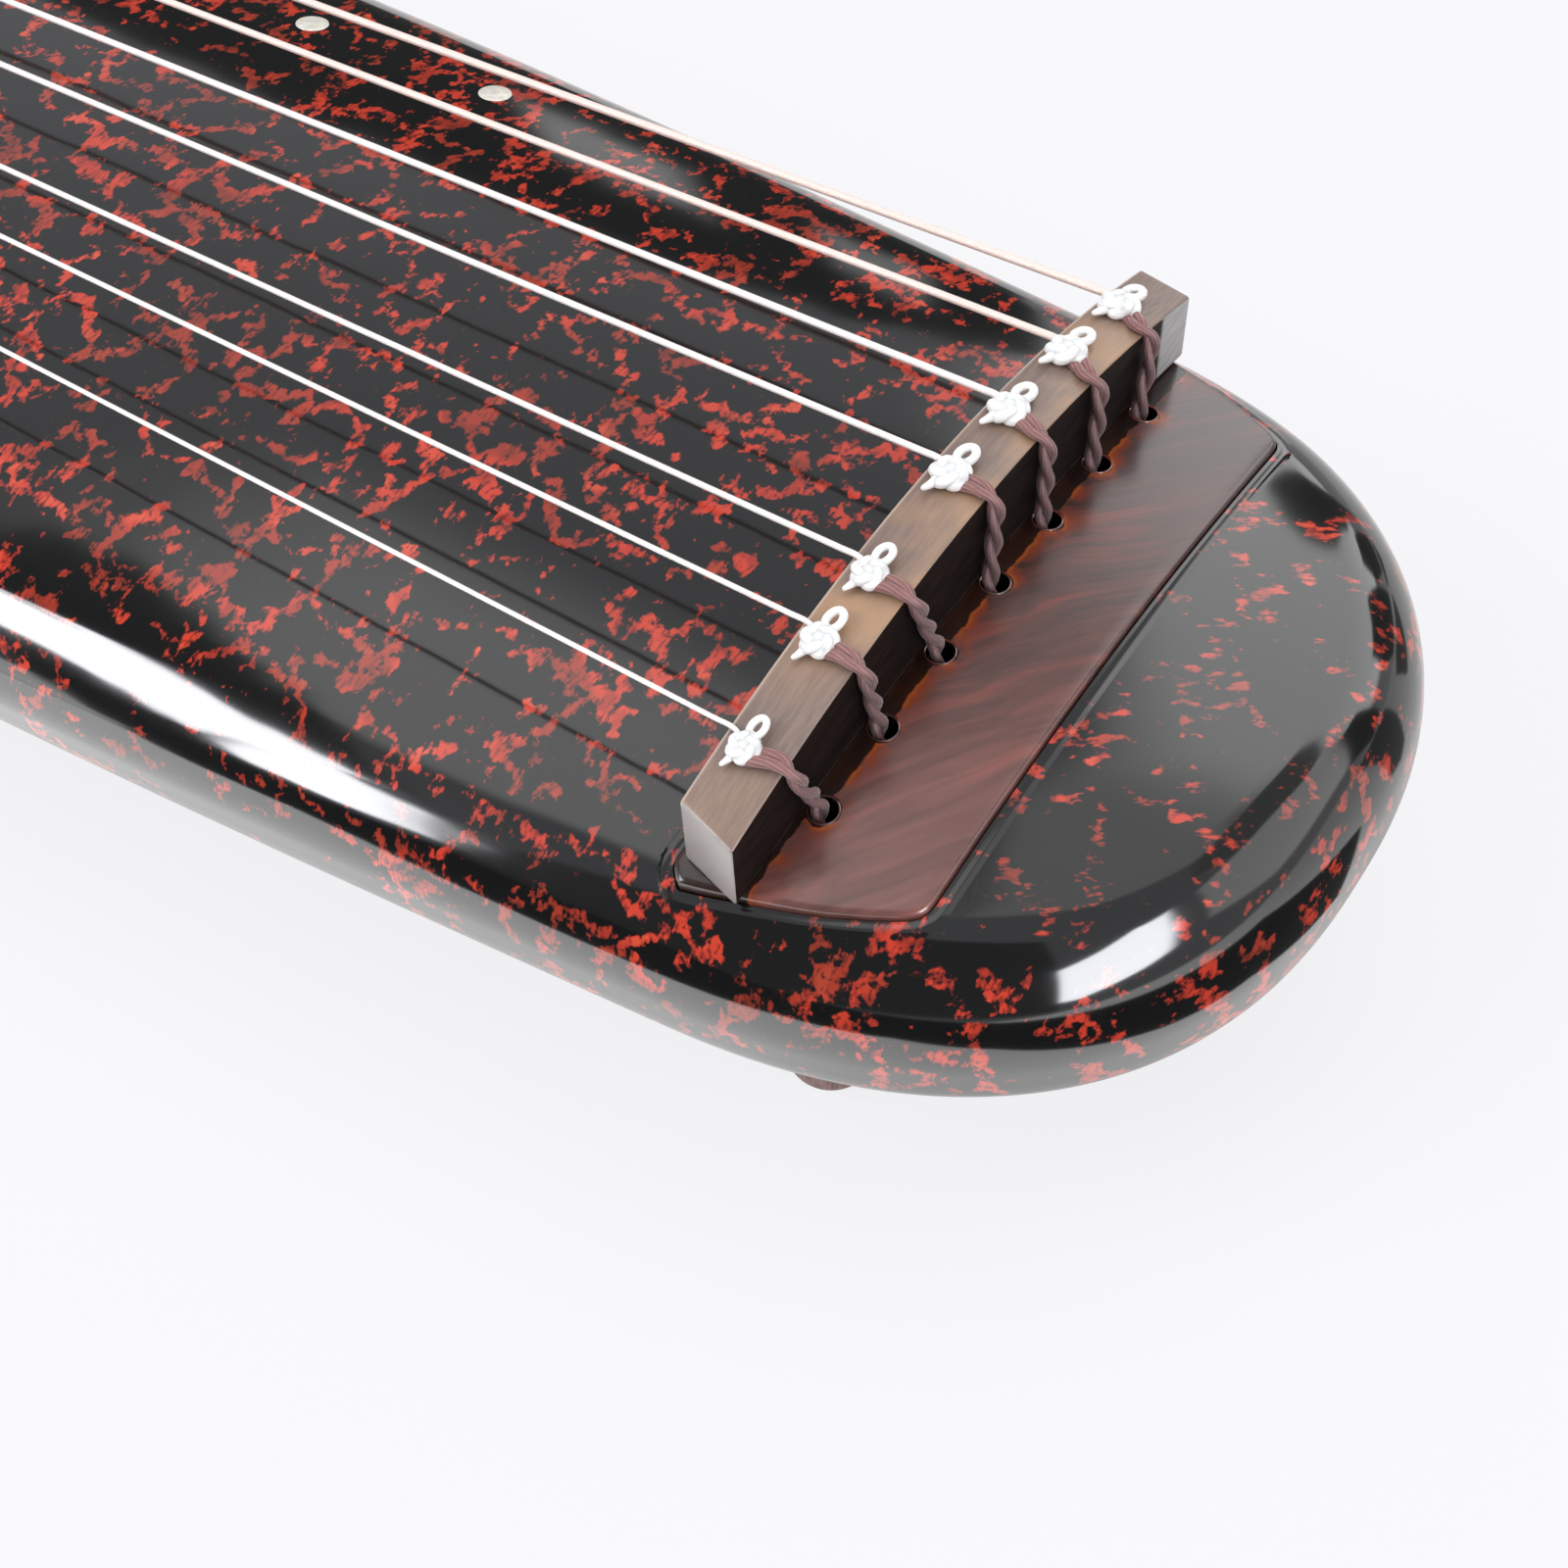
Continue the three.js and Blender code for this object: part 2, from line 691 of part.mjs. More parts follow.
// The strings of the far foot are the first four and the near foot holds the other three
function stringFoot(index) {
  const far = index < farStrings;
  return { side: far ? 1 : -1, first: far ? 0 : farStrings };
}

function windingPitch(index) {
  return 2 * stringRadii[index] + stringSelfGap;
}

// Height at which a string's first turn starts on its foot's neck
function windingStartZ(index) {
  let z = bottomZ - seatGap - footCollarHeight - stringRadii[stringFoot(index).first] - seatGap;
  for (let i = stringFoot(index).first; i < index; i += 1) {
    z -= stringTurns * windingPitch(i) + stringRadii[i] + stringRadii[i + 1] + stringSelfGap;
  }
  return z;
}

// The whole route of a string: knot, bridge, nut, round the tail, back to its foot and round it
function stringRoute(index) {
  const radius = stringRadii[index];
  const clear = radius + seatGap;
  const y = stringPlaces[index];
  const nutY = nutPlaces[index];
  const knotY = y - knotShift;
  const nutTop = nutTopZ(nutY) + clear;
  const lowZ = bottomZ - tailSupportProud;
  const route = [
    new THREE.Vector3(bridgeX + knotSetback, knotY, bridgeTopZ(knotY) + clear + knotHalfHeight / 2),
    new THREE.Vector3(bridgeX + bridgeBevel, y, bridgeTopZ(y) + clear),
    new THREE.Vector3(nutX, nutY, nutTop),
  ];
  for (const angle of arcAngles) {
    route.push(new THREE.Vector3(
      nutOuterX + nutRounding - (nutRounding + clear) * Math.sin(angle), nutY,
      nutTop - clear - nutRounding + (nutRounding + clear) * Math.cos(angle),
    ));
  }
  for (const angle of arcAngles) {
    route.push(new THREE.Vector3(
      nutOuterX + tailSupportRounding - (tailSupportRounding + clear) * Math.cos(angle), nutY,
      lowZ + tailSupportRounding - (tailSupportRounding + clear) * Math.sin(angle),
    ));
  }
  route.push(new THREE.Vector3(nutOuterX + tailSupportThickness, nutY, lowZ - clear));

  const { side } = stringFoot(index);
  const start = new THREE.Vector2(nutOuterX + tailSupportThickness, nutY);
  const foot = new THREE.Vector2(footX, side * footSpacing / 2);
  const toStart = start.clone().sub(foot);
  const coilRadius = footNeckRadius + clear;
  const tangentAngle = toStart.angle() + side * Math.acos(coilRadius / toStart.length());
  const centre = new THREE.Vector3(foot.x, foot.y, windingStartZ(index));
  const turns = coil(centre, coilRadius, tangentAngle, side, stringTurns, windingPitch(index), loopSteps);
  route.push(...turns, straightEnd(turns, 2 * radius));
  return route;
}

// The end of a string: a flat pressed knot with one upright loop beside it, lying on the bridge
function knotSolid(index) {
  const y = stringPlaces[index] - knotShift;
  const slope = Math.atan(-y / bridgeTopRadius);
  const knot = new THREE.SphereGeometry(1, knotSides, knotRows);
  knot.scale(knotHalfWidth, knotHalfWidth, knotHalfHeight);
  const loop = new THREE.TorusGeometry(knotLoopRadius, knotLoopWire, knotLoopSides, knotLoopSteps);
  loop.translate(0, knotLoopReach, 0);
  const place = new THREE.Matrix4().makeTranslation(bridgeX + knotSetback, y,
    bridgeTopZ(y) + knotHalfHeight + seatGap * 2);
  place.multiply(new THREE.Matrix4().makeRotationX(slope));
  knot.applyMatrix4(place);
  loop.applyMatrix4(place);
  return solidFrom(knot).add(solidFrom(loop));
}

// A cord from its knot over the bridge's outer edge and down through its hole into the peg
function cordRoute(index) {
  const clear = cordRadius + seatGap;
  const knotY = stringPlaces[index] - knotShift;
  const holeY = pegPlaces[index];
  const crossY = knotY + (holeY - knotY) * cordCrossShares[index];
  const outerX = bridgeX + bridgeThickness;
  const outX = pegX - outerX > clear ? pegX : outerX + clear;
  const stripTop = surfaceZ(bridgeX, holeY) + stripProud;
  const crossTop = bridgeTopZ(crossY);
  const half = (crossY + holeY) / 2;
  const lean = (clear + seatGap) / Math.SQRT2 - bridgeBevel / 2;
  const boreZ = plateBottomZ - pegShoulderLength;
  return [
    new THREE.Vector3(bridgeX + knotSetback + knotHalfWidth + clear, knotY,
      bridgeTopZ(knotY) + clear + seatGap),
    new THREE.Vector3(outerX - bridgeBevel, crossY, crossTop + clear + seatGap),
    new THREE.Vector3(outerX + lean, crossY, crossTop + lean),
    new THREE.Vector3(outX, crossY, crossTop - clear),
    new THREE.Vector3(outX, half, (crossTop + stripTop) / 2),
    new THREE.Vector3(outX, holeY, stripTop + clear),
    new THREE.Vector3(pegX, holeY, stripTop - clear),
    new THREE.Vector3(pegX, holeY, recessCeilingZ),
    new THREE.Vector3(pegX, holeY, boreZ),
  ];
}

// The end of a cord, wound on the peg's neck
function windingRoute(index) {
  const radius = pegNeckRadius + seatGap + windingRadius;
  const pitch = 2 * windingRadius + windingSelfGap;
  const startZ = plateBottomZ - seatGap - pegShoulderLength - seatGap - windingRadius;
  const centre = new THREE.Vector3(pegX, pegPlaces[index], startZ);
  const turns = coil(centre, radius, 0, 1, windingTurns, pitch, windingSteps);
  return [...turns, straightEnd(turns, 2 * windingRadius)];
}

// Round studs, the largest in the middle, inlaid flush with the surface
function studPlace(index) {
  const share = studPlaceShares[index];
  const stringY = stringPlaces[0] + (nutPlaces[0] - stringPlaces[0]) * share;
  const middle = (studPlaceShares.length - 1) / 2;
  const size = 1 - Math.abs(index - middle) / middle;
  return {
    x: bridgeX - speakingLength * share,
    y: stringY + studOffset,
    radius: studSmallRadius + (studLargeRadius - studSmallRadius) * size ** 2,
  };
}

function studSolid(index, grow, rise) {
  const { x, y, radius } = studPlace(index);
  const geometry = new THREE.CylinderGeometry(radius + grow, radius + grow,
    studThickness + rise + grow, studSides);
  geometry.rotateX(Math.PI / 2);
  geometry.translate(0, 0, (rise - studThickness - grow) / 2);
  geometry.rotateX(Math.atan(-y / archRadius));
  geometry.translate(x, y, surfaceZ(x, y));
  return solidFrom(geometry);
}

// Body boards
const body = bodySolid(0);
const tailPanelFrontX = nutX + tailPanelReach;
const tailHornFrontX = nutX + tailHornReach;
const farPast = overallLength;
const supportCut = block(tailTipX - overrun, nutOuterX + tailSupportThickness + seatGap,
  -nutHalfWidth - seatGap, nutHalfWidth + seatGap, bottomZ - overrun, ledgeZ + overrun);
const panelZone = block(-farPast, tailPanelFrontX, -tailPanelHalfWidth, tailPanelHalfWidth, ledgeZ, topZ + overrun);
const hornZone = (side, grow) => block(-farPast, tailHornFrontX + grow,
  Math.min(side * (tailPanelHalfWidth + seatGap - grow), side * farPast),
  Math.max(side * (tailPanelHalfWidth + seatGap - grow), side * farPast), ledgeZ, topZ + overrun);
const recess = (lowZ, highZ, grow) => block(
  pegX - pegRecessWidth / 2 - grow, pegX + pegRecessWidth / 2 + grow,
  -pegRecessHalfLength - grow, pegRecessHalfLength + grow, lowZ, highZ,
);

let topBoard = body
  .subtract(block(-farPast, farPast, -farPast, farPast, -farPast, seamZ))
  .subtract(cavitySolid())
  .subtract(supportCut)
  .subtract(block(-farPast, tailPanelFrontX + seatGap, -tailPanelHalfWidth - seatGap,
    tailPanelHalfWidth + seatGap, ledgeZ, topZ + overrun))
  .subtract(hornZone(1, seatGap))
  .subtract(hornZone(-1, seatGap))
  .subtract(stripSolid(seatGap))
  .subtract(recess(seamZ - overrun, recessCeilingZ, 0))
  .subtract(cordHoles(seamZ, topZ + overrun));
studPlaceShares.forEach((_, i) => {
  topBoard = topBoard.subtract(studSolid(i, seatGap, overrun));
});
for (const [, side] of sides) {
  topBoard = topBoard.subtract(footSocketSolid(side * footSpacing / 2, seatGap));
}
addPiece('top_board', topBoard, 'lacquer');

let bottomBoard = body
  .intersect(block(-farPast, farPast, -farPast, farPast, -farPast, seamZ))
  .subtract(supportCut)
  .subtract(recess(bottomZ - overrun, seamZ + overrun, 0));
for (const [share, length] of [[longHoleShare, longHoleLength], [shortHoleShare, shortHoleLength]]) {
  bottomBoard = bottomBoard.subtract(roundEndedSlot(bridgeX - speakingLength * share, length,
    soundHoleWidth, bottomZ - overrun, seamZ + overrun));
}
for (const [, side] of sides) {
  const socketCut = footSocketSolid(side * footSpacing / 2, seatGap)
    .add(footMortise(side * footSpacing / 2));
  bottomBoard = bottomBoard.subtract(socketCut).subtract(guardTenon(side * guardSpacing / 2, seatGap));
}
addPiece('bottom_board', bottomBoard, 'lacquer');

// Head fittings
addPiece('bridge', bridgeSolid(), 'darkwood');
addPiece('peg_strip', stripSolid(0).subtract(cordHoles(stripBottomZ - overrun, topZ + overrun)), 'rosewood');
addPiece('peg_plate', recess(plateBottomZ, recessCeilingZ, -seatGap)
  .subtract(cordHoles(plateBottomZ - overrun, recessCeilingZ + overrun)), 'rosewood');

// Tail fittings
const nutSlot = block(-farPast, nutX + seatGap, -nutHalfWidth - seatGap, nutHalfWidth + seatGap, 0, topZ + overrun);
addPiece('tail_panel', body.intersect(panelZone).subtract(nutSlot), 'rosewood');
addPiece('tail_nut', nutSolid(), 'rosewood');
addPiece('tail_support', tailSupportSolid(), 'rosewood');
const raisedBody = bodySolid(tailHornRise);
for (const [name, side] of sides) {
  addPiece(`tail_horn_${name}`, raisedBody.intersect(hornZone(side, 0)), 'rosewood');
}

// Feet, sockets and guards
for (const [name, side] of sides) {
  const y = side * footSpacing / 2;
  addPiece(`foot_${name}`, footSolid(y), 'rosewood');
  addPiece(`foot_socket_${name}`, footSocketSolid(y, 0).subtract(footMortise(y)), 'bare_wood');
  addPiece(`peg_guard_${name}`, guardSolid(side * guardSpacing / 2), 'rosewood');
}

// Posts between the boards, under the flat middle of the soundboard's inner face
const postTopZ = surfaceZ(0, squarePostWidth) - soundboardThickness - seatGap;
const roundPostX = bridgeX - speakingLength * roundPostShare;
const squarePostX = bridgeX - speakingLength * squarePostShare;
const squareHalf = squarePostWidth / 2;
addPiece('round_post', uprightCylinder(roundPostX, 0, seamZ, postTopZ, roundPostRadius, pegSides), 'bare_wood');
addPiece('square_post', block(squarePostX - squareHalf, squarePostX + squareHalf,
  -squareHalf, squareHalf, seamZ, postTopZ), 'bare_wood');

// Studs
studPlaceShares.forEach((_, i) => {
  addPiece(`stud_${String(i + 1).padStart(2, '0')}`, studSolid(i, 0, 0), 'shell');
});

// Strings, cords, pegs and windings
stringRadii.forEach((radius, i) => {
  const string = stringRoute(i);
  const winding = windingRoute(i);
  addPiece(`string_${i + 1}`, tube(string, radius, tubeSides).add(knotSolid(i)), 'string');
  addPiece(`cord_${i + 1}`, tube(cordRoute(i), cordRadius, tubeSides), 'cord');
  addPiece(`peg_${i + 1}`, pegSolid(pegPlaces[i]), 'darkwood');
  addPiece(`cord_winding_${i + 1}`, tube(winding, windingRadius, windingSides), 'cord');
  console.log(`string ${i + 1} least gap to itself`, leastSelfGap(string, radius, loopSteps / 2).toFixed(2),
    'winding', leastSelfGap(winding, windingRadius, windingSteps / 2).toFixed(2));
});

export default part;
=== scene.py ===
"""Looks of the seven-string zither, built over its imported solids. Lengths are in metres.

X runs along the strings with the head at +X, Y points to the row of studs, Z is up, as in the frame.
"""

import bmesh
import bpy
import numpy as np
from mathutils import Matrix


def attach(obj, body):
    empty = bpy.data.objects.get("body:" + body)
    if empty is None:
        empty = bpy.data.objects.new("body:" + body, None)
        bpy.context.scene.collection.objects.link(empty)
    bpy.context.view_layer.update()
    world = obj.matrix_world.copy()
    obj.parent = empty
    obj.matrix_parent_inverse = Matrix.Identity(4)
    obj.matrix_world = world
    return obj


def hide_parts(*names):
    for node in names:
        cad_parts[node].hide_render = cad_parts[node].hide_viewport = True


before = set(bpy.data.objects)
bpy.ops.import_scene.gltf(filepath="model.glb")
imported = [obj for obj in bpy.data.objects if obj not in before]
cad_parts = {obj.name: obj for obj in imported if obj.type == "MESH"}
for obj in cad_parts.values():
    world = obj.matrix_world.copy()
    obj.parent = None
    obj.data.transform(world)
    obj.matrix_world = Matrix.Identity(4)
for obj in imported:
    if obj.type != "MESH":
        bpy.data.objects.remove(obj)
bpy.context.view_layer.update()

# Body
BRIDGE_X = 0.529395
HEAD_TIP_X = 0.610395
TAIL_TIP_X = -0.607805
HEAD_HALF_WIDTH = 0.080
SHOULDER_HALF_WIDTH = 0.095
SHOULDER_SETBACK = 0.250
TAIL_HALF_WIDTH = 0.066
TAIL_ROUNDING = 0.030
HEAD_ROUNDNESS = 2.42
TAIL_ROUNDNESS = 3.2
BOTTOM_Z = 0.035
SEAM_Z = 0.045
SIDE_Z = 0.0494
TOP_Z = 0.076
ARCH_RADIUS = 0.332
HEAD_FALL = 0.0038
UPPER_ROUNDING = 0.0153
LOWER_ROUNDING = 0.0144
TAIL_UPPER_ROUNDING = 0.006
TAIL_LOWER_ROUNDING = 0.005
TAIL_BLEND = 0.070
SOUNDBOARD = 0.011
RIM = 0.014
GAP = 0.0003
SPEAKING_LENGTH = 1.120

# Bridge and strip
BRIDGE_THICKNESS = 0.0111
BRIDGE_CROWN = 0.0182
BRIDGE_TOP_RADIUS = 0.222
BRIDGE_HALF_LENGTH = 0.069
BRIDGE_END_SLANT = 0.003
STRIP_WIDTH = 0.0356
STRIP_LAP = 0.0014
STRIP_HALF_LENGTH = 0.0695
STRIP_BOTTOM_Z = 0.064
STRIP_PROUD = 0.0012
STRIP_OUTLINE = np.array([
    (0, 1), (0.3, 1), (0.56, 1), (0.78, 1), (0.825, 0.96), (0.86, 0.85),
    (0.912, 0.63), (0.952, 0.4), (0.985, 0.18), (1, 0.06),
])
STRIP_OUTER_X = BRIDGE_X + STRIP_WIDTH

# Pegs
PEG_X = BRIDGE_X + 0.0136
PEG_SPACING = 0.0165
PEG_Y = PEG_SPACING * (3 - np.arange(7))
CORD_HOLE_RADIUS = 0.0023
RECESS_CEILING_Z = 0.053
PLATE_BOTTOM_Z = 0.049
PEG_TOP_Z = PLATE_BOTTOM_Z - GAP
PEG_TIP_Z = 0.0030
PEG_SHOULDER = 0.004
PEG_NECK_RADIUS = 0.0044
WOUND_CORD_RADIUS = 0.00095
COIL_SPACE = 0.0006

# Strings, from the thick first one to the thin seventh one
STRING_RADII = np.array([0.75, 0.68, 0.62, 0.56, 0.5, 0.45, 0.4]) * 0.001
STRING_Y = 0.0023 + 0.0555 * np.array([1, 0.674, 0.333, 0.017, -0.399, -0.645, -1])
NUT_SHARE = 0.5715
KNOT_SETBACK = 0.0044
KNOT_SHIFT = 0.0024
KNOT_SIZES = (1.0, 0.98, 0.95, 0.93, 0.82, 0.84, 0.75)
CORD_CROSS_SHARES = (0.58, 0.79, 0.9, 0, 0, -0.1, 0.1)

# Tail and feet
NUT_X = -0.590605
NUT_OUTER_X = -0.608605
NUT_ROUNDING = 0.006
NUT_RISE = 0.0032
NUT_HALF_WIDTH = 0.0555 * NUT_SHARE + 0.006
LEDGE_Z = 0.065
SUPPORT_LOW_Z = 0.0325
SUPPORT_THICKNESS = 0.012
SUPPORT_ROUNDING = 0.006
PANEL_HALF_WIDTH = 0.046
PANEL_FRONT_X = NUT_X + 0.042
HORN_FRONT_X = NUT_X + 0.030
HORN_RISE = 0.003
FOOT_X = BRIDGE_X - SPEAKING_LENGTH * 0.705
FOOT_Y = 0.047
FOOT_NECK_RADIUS = 0.0085
GUARD_X = BRIDGE_X + 0.040
GUARD_Y = 0.026
SOCKET_HALF = 0.0153
LUMP_HALF_WIDTH = 0.0275
SOUND_HOLES = ((BRIDGE_X - SPEAKING_LENGTH * 0.37, 0.210), (BRIDGE_X - SPEAKING_LENGTH * 0.81, 0.110))

# Where cutters end outside the body
BELOW_Z, ABOVE_Z, ABOVE_TAIL_Z, FAR = 0.03, 0.09, 0.1, 0.7

# Places of the thirteen studs along the strings
STUD_SHARES = (1 / 8, 1 / 6, 1 / 5, 1 / 4, 1 / 3, 2 / 5, 1 / 2, 3 / 5, 2 / 3, 3 / 4, 4 / 5, 5 / 6, 7 / 8)

# Angles between faces above which edges stay sharp, or are rounded
SHARP_DEGREES, EASED_DEGREES = 34, 30

# Places that the cards and lamps are set out from, and the lacquer
HEAD_MIDDLE, HEAD_END, NEAR_SIDE = (0.590, 0.010, 0.074), (0.595, 0.010, 0.072), (0.42, -0.085, 0.06)
LAMPS_AIM = np.array([0.3, 0, 0.05])
LACQUER_BLACK = "0b0c0d"
LACQUER_ROUGHNESS = 0.085

scene = bpy.context.scene
scene.view_settings.view_transform = "Standard"


# ---------------------------------------------------------------- meshes

def unit(vectors):
    """Vectors divided by their own lengths."""
    return vectors / np.maximum(np.linalg.norm(vectors, axis=-1, keepdims=True), 1e-12)


def placed(name, data):
    """A new object in the scene."""
    made = bpy.data.objects.new(name, data)
    scene.collection.objects.link(made)
    return made


def xyz(x, y, z):
    """Points from their coordinates, each of them an array or one number for all."""
    return np.stack(np.broadcast_arrays(x, y, z), -1)


def circle(sides):
    """Cosines and sines of angles evenly round a circle."""
    angle = 2 * np.pi * np.arange(sides) / sides
    return np.cos(angle), np.sin(angle)


def mesh_object(name, points, faces, uv=None):
    """A mesh from points and faces, with doubles merged, faces turned out and smooth shading."""
    mesh = bpy.data.meshes.new(name)
    mesh.from_pydata(np.asarray(points).reshape(-1, 3).tolist(), [], faces)
    if uv is not None:
        layer = mesh.uv_layers.new(name="UVMap")
        layer.data.foreach_set("uv", np.asarray(uv, np.float32).ravel())
    shape = bmesh.new()
    shape.from_mesh(mesh)
    bmesh.ops.remove_doubles(shape, verts=shape.verts, dist=2e-6)
    bmesh.ops.dissolve_degenerate(shape, edges=shape.edges, dist=1e-7)
    bmesh.ops.recalc_face_normals(shape, faces=shape.faces)
    shape.to_mesh(mesh)
    shape.free()
    soften(mesh)
    return placed(name, mesh)


def soften(mesh):
    """Smooth shading, with edges kept sharp where faces meet at more than the angle."""
    mesh.shade_smooth()
    mesh.set_sharp_from_angle(angle=np.radians(SHARP_DEGREES))


def quads(stations, around, ring, loop):
    """Corners of the quads of a grid as pairs of whole numbers, before they are wrapped."""
    i, j = np.meshgrid(np.arange(stations - (not loop)), np.arange(around - (not ring)), indexing="ij")
    pairs = [np.stack([i + a, j + b], -1) for a, b in ((0, 0), (1, 0), (1, 1), (0, 1))]
    return np.stack(pairs, -2).reshape(-1, 4, 2)


def grid_object(name, points, loop=False, caps=False, along=None):
    """A surface from a grid of points (stations, around, 3), closed around. loop closes it along too, caps closes
    its two ends with flat faces, and along gives a UV map of (share round, length)."""
    stations, around = points.shape[:2]
    corners = quads(stations, around, True, loop)
    faces = ((corners[..., 0] % stations) * around + corners[..., 1] % around).tolist()
    uv = None
    if along is not None:
        lengths = np.append(along, 2 * along[-1] - along[-2])
        uv = np.stack([corners[..., 1] / around, lengths[corners[..., 0]]], -1)
    if caps:
        last = (stations - 1) * around
        faces += [list(range(around))[::-1], list(range(last, last + around))]
    return mesh_object(name, points, faces, uv)


def joined(name, *parts):
    """One object from several, with their own meshes kept apart inside it."""
    shape = bmesh.new()
    for part in parts:
        shape.from_mesh(part.data)
        bpy.data.objects.remove(part)
    mesh = bpy.data.meshes.new(name)
    shape.to_mesh(mesh)
    shape.free()
    soften(mesh)
    return placed(name, mesh)


def bake(piece):
    """Applies the piece's modifiers to its mesh."""
    graph = bpy.context.evaluated_depsgraph_get()
    mesh = bpy.data.meshes.new_from_object(piece.evaluated_get(graph))
    piece.modifiers.clear()
    piece.data = mesh
    soften(mesh)
    return piece


def cut(piece, cutter, finish=None, keep_inside=False):
    """Takes a closed cutter away from a piece, or keeps only what lies inside the cutter. The faces that it
    leaves get the finish."""
    if finish:
        cutter.data.materials.append(finish)
    tool = piece.modifiers.new("cut", "BOOLEAN")
    tool.object = cutter
    tool.operation = "INTERSECT" if keep_inside else "DIFFERENCE"
    tool.solver = "EXACT"
    tool.material_mode = "TRANSFER"
    bake(piece)
    bpy.data.objects.remove(cutter)


def eased(piece, width, segments=3):
    """Rounds the piece's edges where faces meet at more than the angle."""
    tool = piece.modifiers.new("ease", "BEVEL")
    tool.width = width
    tool.segments = segments
    tool.limit_method = "ANGLE"
    tool.angle_limit = np.radians(EASED_DEGREES)
    return bake(piece)


def prism(name, outline, low, high, axis=2):
    """A flat outline of (a, b) points carried from low to high along an axis; a and b follow that axis in turn."""
    outline = np.asarray(outline, float)
    rings = np.empty((2, len(outline), 3))
    rings[..., (axis + 1) % 3] = outline[:, 0]
    rings[..., (axis + 2) % 3] = outline[:, 1]
    rings[0, :, axis], rings[1, :, axis] = low, high
    return grid_object(name, rings, caps=True)


def box(name, low, high):
    """A plain box between two corners, used as a cutter."""
    (x0, y0, z0), (x1, y1, z1) = low, high
    return prism(name, [(x0, y0), (x1, y0), (x1, y1), (x0, y1)], z0, z1)


def turned(name, profile, centre, sides):
    """A profile of (radius, height) points turned about the upright axis through centre; its ends lie on it."""
    radius, height = np.asarray(profile, float).T[..., None]
    across, beside = circle(sides)
    return grid_object(name, xyz(centre[0] + radius * across, centre[1] + radius * beside, centre[2] + height))


def evenly(path, spacing):
    """The same path with stations at an even spacing."""
    step = np.linalg.norm(np.diff(path, axis=0), axis=1)
    run = np.concatenate([[0], np.cumsum(step)])
    places = np.linspace(0, run[-1], max(int(run[-1] / spacing), 2) + 1)
    return np.stack([np.interp(places, run, path[:, k]) for k in range(3)], -1)


def flowing(points, spacing):
    """A smooth curve through a few chosen points: each span is a cubic of its two ends and their neighbours."""
    p = np.asarray(points, float)
    p = np.vstack([2 * p[0] - p[1], p, 2 * p[-1] - p[-2]])
    t = np.linspace(0, 1, 24, endpoint=False)[None, :, None]
    a, b, c, d = p[:-3, None], p[1:-2, None], p[2:-1, None], p[3:, None]
    spans = (2 * b + (c - a) * t + (2 * a - 5 * b + 4 * c - d) * t**2 + (3 * b - a - 3 * c + d) * t**3) / 2
    return evenly(np.vstack([spans.reshape(-1, 3), p[-2]]), spacing)


def carried_frames(path):
    """Tangent, side and up at each station; the side is carried along the path with the least twist."""
    tangent = unit(np.gradient(path, axis=0))
    side = np.empty_like(tangent)
    start = (0, 0, 1) if abs(tangent[0, 2]) < 0.9 else (0, 1, 0)
    side[0] = unit(np.cross(tangent[0], start))
    for i in range(1, len(path)):
        side[i] = unit(side[i - 1] - tangent[i] * (side[i - 1] @ tangent[i]))
    return tangent, side, np.cross(side, tangent)


def length_along(path):
    """Distance from the start at each station of a path."""
    return np.concatenate([[0], np.cumsum(np.linalg.norm(np.diff(path, axis=0), axis=1))])


def tube(name, path, radius, sides):
    """A round section carried along a path; its radius may change, and its ends are drawn in to a rounded point."""
    tangent, side, up = carried_frames(path)
    radius = np.broadcast_to(radius, len(path)).astype(float)
    ends = np.radians([90, 65, 35])
    first = path[0] - tangent[0] * radius[0] * np.sin(ends)[:, None]
    last = path[-1] + tangent[-1] * radius[-1] * np.sin(ends[::-1])[:, None]
    spine = np.vstack([first, path, last])
    thick = np.concatenate([radius[0] * np.cos(ends), radius, radius[-1] * np.cos(ends[::-1])])
    thick[[0, -1]] = 0
    side = np.vstack([side[:1].repeat(3, 0), side, side[-1:].repeat(3, 0)])
    up = np.vstack([up[:1].repeat(3, 0), up, up[-1:].repeat(3, 0)])
    across, rise = (share[:, None] for share in circle(sides))
    out = side[:, None] * across + up[:, None] * rise
    return grid_object(name, spine[:, None] + out * thick[:, None, None], along=length_along(spine))


def ring_tube(name, path, width, height, sides):
    """A flat oval section carried round a closed path that lies nearly level."""
    ahead = unit(np.roll(path, -1, 0) - np.roll(path, 1, 0))
    side = unit(np.cross(ahead, (0, 0, 1)))
    up = np.cross(side, ahead)
    across, rise = (share[:, None] for share in circle(sides))
    return grid_object(name, path[:, None] + side[:, None] * width * across + up[:, None] * height * rise, loop=True)


# ---------------------------------------------------------------- finishes

def colour(text):
    """A colour written as six hex digits, as linear red, green, blue and 1."""
    value = np.array([int(text[i:i + 2], 16) for i in (0, 2, 4)]) / 255
    linear = np.where(value <= 0.04045, value / 12.92, ((value + 0.055) / 1.055) ** 2.4)
    return (*linear.tolist(), 1.0)


class Value:
    """What a node puts out. Sums, differences and products of values are written as such and add Math nodes."""

    def __init__(self, finish, socket):
        self.finish, self.socket = finish, socket

    def __add__(self, other):
        return self.finish.math("ADD", self, other)

    def __sub__(self, other):
        return self.finish.math("SUBTRACT", self, other)

    def __rsub__(self, other):
        return self.finish.math("SUBTRACT", other, self)

    def __mul__(self, other):
        return self.finish.math("MULTIPLY", self, other)


